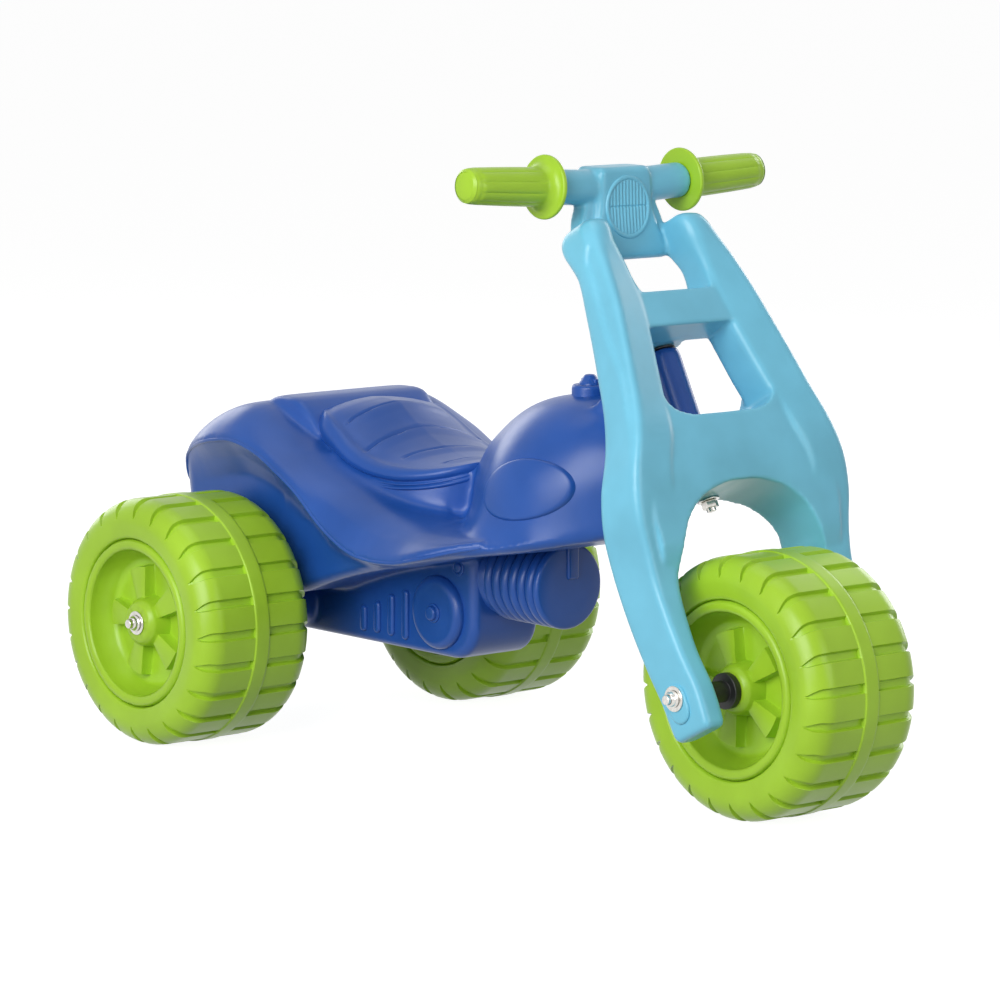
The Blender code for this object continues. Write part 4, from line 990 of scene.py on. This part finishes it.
def fork_moulding():
    """Both legs, crown, cross bar, lamp block, plate and bar stubs in one skin."""
    web = skin_over([
        [(half, ahead(rear), height), (half, ahead(front), height),
         (-half, ahead(front), height), (-half, ahead(rear), height)]
        for height, half, front, rear in eased(WEB, 3)])
    arch = [(x, z, 0) for x, z in curved(ARCH, 4)]
    windows = [opening(corners, -0.09, 0.04) for corners in (LOWER_WINDOW, UPPER_WINDOW)]
    web = cut(web, opening(arch, -0.09, 0.06), *windows)
    # The cross bar's underside falls a little towards the rear
    bar = skin_over([
        [(x, ahead(0.0355), BAR_LOW + 0.004), (x, ahead(0.0350), BAR_LOW + 0.0002),
         (x, ahead(0.0062), BAR_REAR_LOW), (x, ahead(0.0062), BAR_LOW + 0.004)] for x in (-0.050, 0.050)])
    low, high, radius = BOLT_EYE
    on_axis = [fork_leg(1), fork_leg(-1), web, bar, rod(radius, high - low, 56, lift((high + low) / 2))]
    for solid in on_axis:
        bmesh.ops.transform(solid, matrix=STEERING, verts=solid.verts)
    reach = GUARD - GAP
    stubs = [rod(HANDLEBAR_RADIUS, reach, 48, handlebar(side) @ lift(reach / 2)) for side, _ in SIDES]
    skin = one_skin(on_axis + head_solids() + stubs, FORK_CELL, FORK_ROUNDS)
    axle_hole = rod(BORE, 0.26, 32, Matrix.Translation(FRONT_AXLE) @ facing(1))
    bolt_hole = rod(BORE, WEB_TOP - BOLT_HOLE_LOW, 32, STEERING @ lift((WEB_TOP + BOLT_HOLE_LOW) / 2))
    return cut(skin, axle_hole, bolt_hole)


def axle_pad(side):
    """The raised pad round the axle on the outside of each leg, longer downwards."""
    profile = []
    radius, tail = 0.0115, 0.0100
    turns = [math.pi * step / 16 for step in range(17)]
    outline = [(radius * math.cos(a), radius * math.sin(a)) for a in turns]
    outline += [(-radius * math.cos(a), -tail - radius * math.sin(a)) for a in turns]
    for inset, out in PAD_EDGE:
        ring = []
        for y, z in outline:
            middle = Vector((0.0, 0.0 if z >= 0 else -tail if z < -tail else z))
            point = Vector((y, z))
            point += (middle - point).normalized() * inset
            ring.append((side * (LEG_OUTER + out), ahead(0) + point.x, point.y))
        profile.append(ring)
    pad = skin_over(profile)
    bmesh.ops.transform(pad, matrix=STEERING, verts=pad.verts)
    return cut(pad, rod(BORE, 0.30, 32, Matrix.Translation(FRONT_AXLE) @ facing(1)))


def lamp_grille(surface):
    """The oval relief on the head block: upright ribs, one line across and a rolled rim."""
    half_width, half_height = 0.0240, 0.0255
    centre = Vector((0.0, 0.0, 0.4890))
    # The grid reaches past the oval, and what lies beyond its edge is taken away again
    spread, ribs = 1.12, 13
    bm = bmesh.new()
    bmesh.ops.create_grid(bm, x_segments=104, y_segments=112, size=1.0)
    outside = []
    for vert in bm.verts:
        u, v = vert.co.x * spread, vert.co.y * spread
        share = math.hypot(u, v)
        height = -0.0012
        if share < spread:
            rib = 0.5 + 0.5 * math.cos(math.tau * u * ribs / 2)
            inner = 1 - between(0.86, 0.90, share)
            line = 1 - between(0.012, 0.030, abs(v - 0.02))
            height = 0.0003 + inner * (0.0009 * rib ** 0.7 - 0.0009 * line)
            height += 0.0012 * (1 - between(0.03, 0.09, abs(share - 0.965)))
            height -= 0.0022 * between(1.02, 1.10, share)
        start = centre + Vector((u * half_width, -0.2, v * half_height))
        hit = surface.ray_cast(start, Vector((0, 1, 0)))[0]
        if hit is None:
            raise RuntimeError("the grille reaches past the head block")
        vert.co = hit + Vector((0, -height, 0))
        if share > spread - 0.01:
            outside.append(vert)
    bmesh.ops.delete(bm, geom=outside, context="VERTS")
    bmesh.ops.recalc_face_normals(bm, faces=bm.faces)
    if sum(face.normal.y for face in bm.faces) > 0:
        bmesh.ops.reverse_faces(bm, faces=bm.faces)
    return bm


def grip(side):
    """A grip with a round guard, long shallow flutes and a rounded end."""
    bore, outer, guard, end, steps, flutes = 0.0123, 0.0163, 0.0270, 0.1662, 24, 10
    profile = rounded_profile([
        (bore, GUARD, 0), (guard, GUARD, 0.0016), (guard, GUARD + 0.0040, 0.0018),
        (0.0205, GUARD + 0.0046, 0.0040), (outer + 0.0004, GUARD + 0.0105, 0.0040)], 6)
    for step in range(steps + 1):
        height = GUARD + 0.0125 + (end - 0.010 - GUARD - 0.0125) * step / steps
        profile.append((outer + 0.0002 - 0.0012 * (step / steps) ** 2, height))
    profile += rounded_profile([
        (outer - 0.0011, end - 0.0098, 0), (outer - 0.0016, end - 0.0030, 0.0040),
        (outer - 0.0045, end - 0.0005, 0.0030), (0.0, end, 0)], 6)
    profile += [(0.0, 0.1503), (bore, 0.1503), (bore, GUARD)]
    bm = turned(profile, 140)
    for vert in bm.verts:
        radius = math.hypot(vert.co.x, vert.co.y)
        height = vert.co.z
        if radius < 0.0130 or height < GUARD + 0.008:
            continue
        angle = math.atan2(vert.co.y, vert.co.x)
        wave = abs(math.sin(angle * flutes / 2)) ** 0.55
        reach = between(GUARD + 0.009, GUARD + 0.022, height)
        reach *= 1 - between(end - 0.014, end - 0.007, height)
        scale = 1 - 0.0008 * reach * (1 - wave) / radius + 0.0002 * reach * wave / radius
        vert.co.x *= scale
        vert.co.y *= scale
    bmesh.ops.transform(bm, matrix=handlebar(side), verts=bm.verts)
    return bm


# The wheels, made on Z and turned to lie along X

# Radius, the hub's face out from the middle, grooves round the tread, half the middle band's width
WHEEL_RADIUS, HUB, GROOVES, BAND_HALF = 0.110, 0.0545, 24, 0.0078
# The shoulder's arc: radius and height of its middle, and its own radius
ARC_MIDDLE, ARC_RADIUS = (0.0880, 0.0395), 0.0210
GROOVE_HALF, GROOVE_DEPTH = 0.0041, 0.0034
# Columns round one groove: shares of the groove's half width, then metres along the tread
GROOVE_SHARES = [
    -1.14, -1.04, -0.97, -0.90, -0.82, -0.74, -0.40, 0.0, 0.40, 0.74, 0.82, 0.90, 0.97, 1.04, 1.14]
BLOCK_COLUMNS = [0.0088, 0.01425, 0.0197]


def both_halves(half):
    """A profile of one half of the wheel with its mirror image."""
    return half + [(radius, -height) for radius, height in reversed(half) if height]


def ring_place(vert, columns):
    """A vertex of a spun wheel as its radius, its height from the middle and its column's number."""
    column = round(math.atan2(vert.co.y, vert.co.x) / math.tau * columns) % columns
    return math.hypot(vert.co.x, vert.co.y), abs(vert.co.z), column


def put(vert, radius, height, angle):
    """Moves a vertex of a wheel, on its own side of the middle."""
    vert.co = Vector((radius * math.cos(angle), radius * math.sin(angle), math.copysign(height, vert.co.z)))


def tyre_half():
    """From the ring's outer edge, over the shoulder to the middle band."""
    path = [(0.0741, 0.0520), (0.0743, 0.0550), (0.0747, 0.0572), (0.0754, 0.0586), (0.0765, 0.0593),
            (0.0785, 0.0597), (0.0810, 0.0600), (0.0835, 0.0602), (0.0858, 0.0604)]
    arc_radius, arc_height = ARC_MIDDLE
    edge, steps, rows = BAND_HALF, 22, 14
    for step in range(steps + 1):
        angle = math.pi / 2 * (1 - step / steps)
        path.append((arc_radius + ARC_RADIUS * math.cos(angle), arc_height + ARC_RADIUS * math.sin(angle)))
    for row in range(1, rows + 1):
        path.append((0.1090, arc_height - (arc_height - edge - 0.0022) * row / rows))
    path += [
        (0.1090, edge + 0.0012), (0.1090, edge + 0.0007), (0.1090, edge + 0.0003), (0.1091, edge - 0.0001),
        (0.1095, edge - 0.0004), (0.1099, edge - 0.0009), (WHEEL_RADIUS, edge - 0.0016),
        (WHEEL_RADIUS, edge / 2)]
    return path


def tyre():
    """The tread: blocks between grooves that run from the middle band out over the shoulders."""
    pitch = math.tau / GROOVES
    per_groove = len(GROOVE_SHARES) + len(BLOCK_COLUMNS)
    columns = GROOVES * per_groove
    bm = spun(both_halves(tyre_half() + [(WHEEL_RADIUS, 0.0)]), columns)
    for vert in bm.verts:
        radius, height, column = ring_place(vert, columns)
        groove, place = divmod(column, per_groove)
        normal = Vector((1.0, 0.0))
        reach = height
        if height > ARC_MIDDLE[1] and radius > ARC_MIDDLE[0]:
            normal = Vector((radius - ARC_MIDDLE[0], height - ARC_MIDDLE[1])).normalized()
            reach = ARC_MIDDLE[1] + ARC_RADIUS * math.atan2(normal.y, normal.x)
        elif height > ARC_MIDDLE[1]:
            reach = 1.0
        taper = 1 - between(0.0520, 0.0690, reach)
        width = GROOVE_HALF * max(math.sqrt(taper), 0.25)
        shift = 0.0026 * between(0.050, 0.069, reach)
        depth = GROOVE_DEPTH * between(BAND_HALF - 0.0004, BAND_HALF - 0.0001, reach)
        depth *= (1 - 0.35 * between(0.052, 0.069, reach)) * between(0.0, 0.10, taper)
        share = GROOVE_SHARES[place] if place < len(GROOVE_SHARES) else None
        along = BLOCK_COLUMNS[place - len(GROOVE_SHARES)] if share is None else shift + share * width
        sink = 0.0 if share is None else depth * (1 - between(0.74, 1.04, abs(share)))
        angle = (groove + 0.5) * pitch + along / (WHEEL_RADIUS - 0.001)
        put(vert, radius - normal.x * sink, height - normal.y * sink, angle)
    return bm


# Columns of one sector as shares of the spoke's half width, then degrees from the spoke's middle
SPOKE_SHARES = [
    -1.25, -1.12, -1.04, -1.0, -0.96, -0.88, -0.70, -0.45, -0.2, 0.0, 0.2, 0.45, 0.70, 0.88, 0.96, 1.0,
    1.04, 1.12, 1.25]
GAP_COLUMNS = [22.0, 29.0, 36.0, 43.0, 50.0]
# Their number, half width at the hub, outer radius and half width there
SPOKES, SPOKE_ROOT, SPOKE_END, SPOKE_OUTER_HALF = 5, 0.0062, 0.0494, 0.0122


def rim():
    """The rolled ring, the bowl, five wedge spokes and the hub."""
    floor = 0.0350
    half = rounded_profile([
        (BORE, HUB, 0), (0.0165, HUB, 0.0022), (0.0205, HUB - 0.0045, 0.0020), (0.0222, 0.0420, 0.0020),
        (0.0232, floor, 0.0020)], 5)
    half += [(0.0245 + 0.0011 * step, floor) for step in range(22)]
    half += [
        (SPOKE_END - 0.0010, floor), (SPOKE_END - 0.0004, floor), (SPOKE_END, floor),
        (SPOKE_END + 0.0004, floor), (SPOKE_END + 0.0010, floor + 0.0001)]
    half += rounded_profile([
        (0.0518, floor + 0.0002, 0), (0.0560, floor + 0.0012, 0.0035), (0.0625, 0.0480, 0.0060),
        (0.0640, 0.0545, 0.0030), (0.0646, 0.0580, 0.0016), (0.0668, 0.0598, 0.0020),
        (0.0718, 0.0598, 0.0022), (0.0738, 0.0566, 0.0012), (0.0742, 0.0530, 0)], 7)
    per_sector = len(SPOKE_SHARES) + len(GAP_COLUMNS)
    columns = SPOKES * per_sector
    bm = spun(both_halves(half), columns)
    for vert in bm.verts:
        radius, height, column = ring_place(vert, columns)
        sector, place = divmod(column, per_sector)
        outward = min(max((radius - 0.021) / (SPOKE_END - 0.021), 0.0), 1.0)
        half_width = SPOKE_ROOT + (SPOKE_OUTER_HALF - SPOKE_ROOT) * outward
        if place < len(SPOKE_SHARES):
            share = SPOKE_SHARES[place]
            off = math.degrees(math.atan2(share * half_width, max(radius, 0.018)))
        else:
            share, off = None, GAP_COLUMNS[place - len(SPOKE_SHARES)]
        if share is not None and 0.0205 < radius < SPOKE_END + 0.0002 and height < 0.0480:
            top = 0.0468 - 0.0012 * between(0.021, 0.052, radius)
            top -= 0.0009 * abs(share) ** 3
            raised = 1 - between(0.96, 1.06, abs(share))
            raised *= 1 - between(SPOKE_END - 0.0008, SPOKE_END + 0.0002, radius)
            height += max(top - height, 0.0) * raised
        put(vert, radius, height, math.radians(sector * (360 / SPOKES) + off))
    return bm


def wheel(spoke_turn):
    """A whole wheel, with its centre turned against its tread."""
    centre = rim()
    bmesh.ops.transform(centre, matrix=Matrix.Rotation(spoke_turn, 4, "Z"), verts=centre.verts)
    bm = gathered([tyre(), centre])
    bmesh.ops.recalc_face_normals(bm, faces=bm.faces)
    return bm


# Axles and the small steel and black pieces

WASHER, WASHER_RADIUS, CAP, AXLE_RADIUS = 0.0012, 0.0105, 0.0052, 0.0040
# How far an axle's end stands out of its cap, the nut's height and the bushes' flange
AXLE_END, NUT, FLANGE = 0.0032, 0.0062, 0.0012


def washer(place):
    """A washer between an axle's cap and what it holds."""
    return lathed([
        (BORE, 0.0001, 0), (BORE + 0.0002, 0, 0), (WASHER_RADIUS, 0, 0.0003),
        (WASHER_RADIUS, WASHER, 0.0004), (BORE, WASHER, 0.0002), (BORE, 0.0001, 0)], 3, 56, place)


def axle_cap(place):
    """A push-on cap: a flared skirt and a domed crown with the axle's end through it."""
    return lathed([
        (BORE, 0.0, 0), (0.0072, 0.0, 0.0003), (0.0072, 0.0010, 0.0004), (0.0062, 0.0016, 0.0006),
        (0.0056, 0.0040, 0.0012), (0.0049, CAP, 0.0004), (BORE, CAP, 0), (BORE, 0.0, 0)], 4, 56, place)


def axle(half_length, place):
    """A plain rod with rounded ends."""
    return lathed([
        (0.0, -half_length, 0), (AXLE_RADIUS, -half_length, 0.0007), (AXLE_RADIUS, half_length, 0.0007),
        (0.0, half_length, 0)], 4, 40, place)


def spacer(length, place):
    """A black collar: a thin neck at its seat and a cupped flange at the wheel."""
    neck = length - 0.0070
    return lathed([
        (BORE, 0, 0), (0.0090, 0, 0.0005), (0.0090, neck, 0.0006), (0.0150, neck + 0.0003, 0.0010),
        (0.0150, length, 0.0012), (BORE, length, 0), (BORE, 0, 0)], 4, 56, place)


def hexagon(height, place):
    """The body of the bolt's head or of its nut, with softened rims."""
    bm = rod(0.0072, height, 6, lift(height / 2))
    rims = [edge for edge in bm.edges if abs(edge.verts[0].co.z - edge.verts[1].co.z) < 1e-6]
    bevel(bm, rims, 0.0006, 3)
    bmesh.ops.transform(bm, matrix=place, verts=bm.verts)
    return bm


def bush(place):
    """A flanged bush for an end of the head tube."""
    return lathed([
        (BORE, 0, 0), (0.0140, 0, 0.0004), (0.0140, FLANGE, 0.0004), (0.0097, FLANGE, 0),
        (0.0097, 0.018, 0.0006), (BORE, 0.018, 0), (BORE, 0, 0)], 3, 48, place)


# Settings

COLOUR = {"subtype": "COLOR", "size": 3, "min": 0.0, "max": 1.0}
TURN = {"subtype": "ANGLE", "unit": "ROTATION"}


class TRIKE_PG_looks(bpy.types.PropertyGroup):
    """Colours and finish of the trike."""
    body_blue: FloatVectorProperty(
        name="Body blue", description="Colour of the body moulding", default=(0.012, 0.077, 0.345), **COLOUR)
    fork_blue: FloatVectorProperty(
        name="Fork blue", description="Colour of the fork moulding", default=(0.165, 0.520, 0.700), **COLOUR)
    lime: FloatVectorProperty(
        name="Lime", description="Colour of the wheels and grips", default=(0.345, 0.575, 0.026), **COLOUR)
    steel: FloatVectorProperty(
        name="Steel", description="Colour of the plated steel", default=(0.72, 0.70, 0.66), **COLOUR)
    black: FloatVectorProperty(
        name="Black", description="Colour of the collars and bushes", default=(0.010, 0.010, 0.011), **COLOUR)
    plastic_roughness: FloatProperty(
        name="Plastic roughness", description="Roughness of the moulded plastic",
        min=0.05, max=1.0, default=0.31)
    steel_roughness: FloatProperty(
        name="Steel roughness", description="Roughness of the plated steel", min=0.02, max=1.0, default=0.20)
    black_roughness: FloatProperty(
        name="Black roughness", description="Roughness of the collars and bushes",
        min=0.05, max=1.0, default=0.42)


class TRIKE_PG_sizes(bpy.types.PropertyGroup):
    """How the wheels and their centres are turned."""
    spoke_turn: FloatProperty(
        name="Spoke turn", description="Angle between a spoke and the nearest tread block",
        default=math.radians(29.1), **TURN)
    front_turn: FloatProperty(
        name="Front wheel turn", description="How far the front wheel is turned about its axle",
        default=math.radians(-13.6), **TURN)
    left_turn: FloatProperty(
        name="Left wheel turn", description="How far the rear left wheel is turned about its axle",
        default=0.0, **TURN)
    right_turn: FloatProperty(
        name="Right wheel turn", description="How far the rear right wheel is turned about its axle",
        default=math.radians(-7.5), **TURN)


# Operators

class TRIKE_OT_body(bpy.types.Operator):
    """Body moulding with the bead on its lip"""
    bl_idname = "trike.body"
    bl_label = "Body moulding"

    def execute(self, context):
        moulding = body_moulding()
        surface = BVHTree.FromBMesh(moulding)
        piece("body_moulding", moulding, finish("body_blue"), "frame", ["body_shell"], 50)
        piece("lip_bead", lip_bead(), finish("body_blue"), "frame")
        for side, hand in SIDES:
            piece("knee_panel_" + hand, knee_panel(surface, side), finish("body_blue"), "frame", smooth=60)
        piece("fuel_cap", fuel_cap(), finish("body_blue"), "frame")
        return {"FINISHED"}


class TRIKE_OT_seat(bpy.types.Operator):
    """Seat pad with its rim, ledge and grooves"""
    bl_idname = "trike.seat"
    bl_label = "Seat pad"

    def execute(self, context):
        piece("seat_pad", seat_pad(), finish("body_blue"), "frame", smooth=60)
        return {"FINISHED"}


class TRIKE_OT_engine(bpy.types.Operator):
    """Covers, louvres, ring bosses and the finned barrel"""
    bl_idname = "trike.engine"
    bl_label = "Engine relief"

    def execute(self, context):
        blue = finish("body_blue")
        piece("barrel", barrel(), blue, "frame", smooth=50)
        for side, hand in SIDES:
            piece("engine_cover_" + hand, engine_cover(side), blue, "frame")
            piece("case_ring_" + hand, case_ring(side), blue, "frame")
            louvres = gathered([louvre(side, *row) for row in LOUVRES])
            piece("louvres_" + hand, louvres, blue, "frame")
        return {"FINISHED"}


class TRIKE_OT_fork(bpy.types.Operator):
    """Fork moulding with the axle pads and the lamp grille"""
    bl_idname = "trike.fork"
    bl_label = "Fork moulding"

    def execute(self, context):
        light = finish("fork_blue")
        moulding = fork_moulding()
        surface = BVHTree.FromBMesh(moulding)
        piece("fork_moulding", moulding, light, "fork", ["fork"], 50)
        piece("lamp_grille", lamp_grille(surface), light, "fork", smooth=60)
        for side, hand in SIDES:
            piece("axle_pad_" + hand, axle_pad(side), light, "fork")
        return {"FINISHED"}


class TRIKE_OT_grips(bpy.types.Operator):
    """Grips with their round guards"""
    bl_idname = "trike.grips"
    bl_label = "Grips"

    def execute(self, context):
        for side, hand in SIDES:
            piece("fluted_grip_" + hand, grip(side), finish("lime"), "fork", ["grip_" + hand], 50)
        return {"FINISHED"}


class TRIKE_OT_wheels(bpy.types.Operator):
    """Three wheels from one mould"""
    bl_idname = "trike.wheels"
    bl_label = "Wheels"

    def execute(self, context):
        sizes = context.scene.trike_sizes
        places = {
            "front_wheel": (FRONT_AXLE, sizes.front_turn),
            "rear_wheel_left": (REAR_AXLE + Vector((REAR_WHEEL_OUT, 0, 0)), sizes.left_turn),
            "rear_wheel_right": (REAR_AXLE - Vector((REAR_WHEEL_OUT, 0, 0)), sizes.right_turn),
        }
        made = wheel(sizes.spoke_turn)
        mesh = bpy.data.meshes.new("wheel")
        made.to_mesh(mesh)
        made.free()
        for name, (place, turn) in places.items():
            bm = bmesh.new()
            bm.from_mesh(mesh)
            about = Matrix.Translation(place) @ facing(1) @ Matrix.Rotation(turn, 4, "Z")
            bmesh.ops.transform(bm, matrix=about, verts=bm.verts)
            piece("treaded_" + name, bm, finish("lime"), name, [name], 50)
        bpy.data.meshes.remove(mesh)
        return {"FINISHED"}


class TRIKE_OT_axles(bpy.types.Operator):
    """Axles, washers, caps and collars"""
    bl_idname = "trike.axles"
    bl_label = "Axles"

    def execute(self, context):
        steel, black = finish("steel"), finish("black")
        # The washer's seat, the collar's seat and the hub's face beside it, out from the middle
        sets = (
            ("front", FRONT_AXLE, LEG_OUTER + PAD, LEG_INNER, HUB, "fork"),
            ("rear", REAR_AXLE, REAR_WHEEL_OUT + HUB, CARRIER_HALF, REAR_WHEEL_OUT - HUB, "frame"))
        for end, centre, seat, inner, hub, body in sets:
            half = seat + 2 * GAP + WASHER + CAP + AXLE_END
            middle = Matrix.Translation(centre) @ facing(1)
            piece("plated_%s_axle" % end, axle(half, middle), steel, body, [end + "_axle"])
            room = hub - inner
            start = inner + math.copysign(GAP, room)
            for side, hand in SIDES:
                at = Matrix.Translation(centre + Vector((side * (seat + GAP), 0, 0))) @ facing(side)
                name = "%s_washer_%s" % (end, hand)
                piece("plated_" + name, washer(at), steel, body, [name])
                name = "%s_cap_%s" % (end, hand)
                piece("plated_" + name, axle_cap(at @ lift(GAP + WASHER)), steel, body, [name])
                turn = facing(side * math.copysign(1, room))
                at = Matrix.Translation(centre + Vector((side * start, 0, 0))) @ turn
                collar = spacer(abs(room) - 2 * GAP, at)
                piece("collar_%s_%s" % (end, hand), collar, black, body, ["%s_spacer_%s" % (end, hand)])
        return {"FINISHED"}


class TRIKE_OT_steering(bpy.types.Operator):
    """Steering bolt, nut, washers and bushes"""
    bl_idname = "trike.steering"
    bl_label = "Steering hardware"

    def execute(self, context):
        steel, black = finish("steel"), finish("black")
        washer_low = ARCH_TOP - GAP - WASHER
        nut_low = washer_low - GAP - NUT
        washer_high = BAR_HIGH + GAP
        head_low = washer_high + WASHER + GAP
        for name, height in (("bottom", washer_low), ("top", washer_high)):
            ring = lathed([
                (BORE, 0, 0), (0.0095, 0, 0.0003), (0.0095, WASHER, 0.0003), (BORE, WASHER, 0),
                (BORE, 0, 0)], 3, 48, STEERING @ lift(height))
            piece("plated_steering_washer_" + name, ring, steel, "fork", ["steering_washer_" + name])
        # The shank stands 3 mm out of the nut and ends 2 mm inside the head
        length = head_low + 0.002 - nut_low + 0.003
        shank = lathed([
            (0.0, 0.0, 0), (AXLE_RADIUS, 0.0, 0.0006), (AXLE_RADIUS, length, 0), (0.0, length, 0)],
            3, 32, STEERING @ lift(nut_low - 0.003))
        head = hexagon(0.0053, STEERING @ lift(head_low))
        piece("plated_bolt", gathered([shank, head]), steel, "fork", ["steering_bolt"])
        nut_place = STEERING @ lift(nut_low)
        nut = cut(hexagon(NUT, nut_place), rod(BORE, 0.03, 32, nut_place))
        piece("plated_nut", nut, steel, "fork", ["steering_nut"])
        low = STEERING @ lift(TUBE_LOW - GAP - FLANGE)
        high = STEERING @ lift(TUBE_HIGH + GAP + FLANGE) @ Matrix.Rotation(math.pi, 4, "X")
        piece("flanged_bush_bottom", bush(low), black, "frame", ["steering_bush_bottom"])
        piece("flanged_bush_top", bush(high), black, "frame", ["steering_bush_top"])
        return {"FINISHED"}


class TRIKE_OT_stage(bpy.types.Operator):
    """White floor, soft lamps and the camera"""
    bl_idname = "trike.stage"
    bl_label = "Stage and camera"

    def execute(self, context):
        scene = context.scene
        floor = bmesh.new()
        bmesh.ops.create_grid(floor, x_segments=1, y_segments=1, size=40.0)
        ground = piece("studio_floor", floor)
        white = Finish("studio_white")
        shown = white.ramp(white.seen(), low=0.0, high=1.0)
        matt = white.node("ShaderNodeBsdfDiffuse", {}, {"Color": (0.30, 0.30, 0.30, 1.0)})
        glow = white.node("ShaderNodeEmission", {}, {"Color": (1.0, 1.0, 1.0, 1.0), "Strength": 0.94})
        both = white.node("ShaderNodeAddShader", {}, {0: matt, 1: glow})
        plain = white.node("ShaderNodeBsdfDiffuse", {}, {"Color": (0.40, 0.40, 0.40, 1.0)})
        out = white.tree.nodes["Material Output"]
        white.feed(out.inputs["Surface"], white.node("ShaderNodeMixShader", {}, {0: shown, 1: plain, 2: both}))
        white.tree.nodes.remove(white.shader)
        ground.data.materials.append(white.material)

        world = bpy.data.worlds.new("studio")
        scene.world = world
        world.use_nodes = True
        studio = Nodes(world.node_tree)
        sky = studio.tree.nodes["Background"]
        studio.feed(sky.inputs["Color"], (1.0, 1.0, 1.0, 1.0))
        studio.feed(sky.inputs["Strength"], studio.ramp(studio.seen(), low=0.0, high=1.0, least=0.13))

        lamps = (
            ("key", (-2.6, -1.3, 1.6), 2.0, 68.0),
            ("side", (-3.0, -0.4, 0.7), 1.6, 27.0),
            ("fill", (0.6, -3.0, 1.2), 1.8, 18.0),
            ("top", (-0.2, 0.2, 2.8), 1.8, 9.0),
            ("far", (2.8, 0.3, 1.3), 2.0, 36.0),
            ("rear", (0.5, 3.0, 1.2), 1.8, 16.0),
        )
        for name, place, size, power in lamps:
            light = bpy.data.lights.new(name, "AREA")
            light.shape = "DISK"
            light.size = size
            light.energy = power
            lamp = bpy.data.objects.new(name, light)
            aim = (Vector((0.0, 0.0, 0.25)) - Vector(place)).to_track_quat("-Z", "Y")
            lamp.matrix_world = Matrix.Translation(place) @ aim.to_matrix().to_4x4()
            scene.collection.objects.link(lamp)

        camera = bpy.data.cameras.new("photo_camera")
        camera.sensor_width = 36.0
        camera.lens = 173.02
        camera.clip_end = 100.0
        right = Vector((0.7538, -0.6570, 0.0068))
        forward = Vector((0.6515, 0.7460, -0.1380)).normalized()
        right = (right - forward * right.dot(forward)).normalized()
        up = right.cross(forward)
        holder = bpy.data.objects.new("photo_camera", camera)
        turn = Matrix((right, up, -forward)).transposed().to_4x4()
        holder.matrix_world = Matrix.Translation((-2.7240, -3.0566, 0.8004)) @ turn
        scene.collection.objects.link(holder)
        scene.camera = holder
        scene.view_settings.view_transform = "Standard"
        return {"FINISHED"}


class TRIKE_PT_panel(bpy.types.Panel):
    """Colours, the wheels' turns and a button for each group of pieces"""
    bl_label = "Ride-on trike"
    bl_idname = "TRIKE_PT_panel"
    bl_space_type = "VIEW_3D"
    bl_region_type = "UI"
    bl_category = "Trike"

    def draw(self, context):
        for settings in (context.scene.trike_looks, context.scene.trike_sizes):
            for name in settings.bl_rna.properties.keys():
                if name not in ("rna_type", "name"):
                    self.layout.prop(settings, name)
        for operator in OPERATORS:
            self.layout.operator(operator.bl_idname)


OPERATORS = (
    TRIKE_OT_body, TRIKE_OT_seat, TRIKE_OT_engine, TRIKE_OT_fork, TRIKE_OT_grips, TRIKE_OT_wheels,
    TRIKE_OT_axles, TRIKE_OT_steering, TRIKE_OT_stage)
CLASSES = (TRIKE_PG_looks, TRIKE_PG_sizes, *OPERATORS, TRIKE_PT_panel)


def register():
    for kind in CLASSES:
        bpy.utils.register_class(kind)
    bpy.types.Scene.trike_looks = PointerProperty(type=TRIKE_PG_looks)
    bpy.types.Scene.trike_sizes = PointerProperty(type=TRIKE_PG_sizes)


def unregister():
    del bpy.types.Scene.trike_sizes
    del bpy.types.Scene.trike_looks
    for kind in reversed(CLASSES):
        bpy.utils.unregister_class(kind)


def main():
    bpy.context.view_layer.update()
    register()
    bpy.ops.trike.body()
    bpy.ops.trike.seat()
    bpy.ops.trike.engine()
    bpy.ops.trike.fork()
    bpy.ops.trike.grips()
    bpy.ops.trike.wheels()
    bpy.ops.trike.axles()
    bpy.ops.trike.steering()
    bpy.ops.trike.stage()


if __name__ == "__main__":
    main()
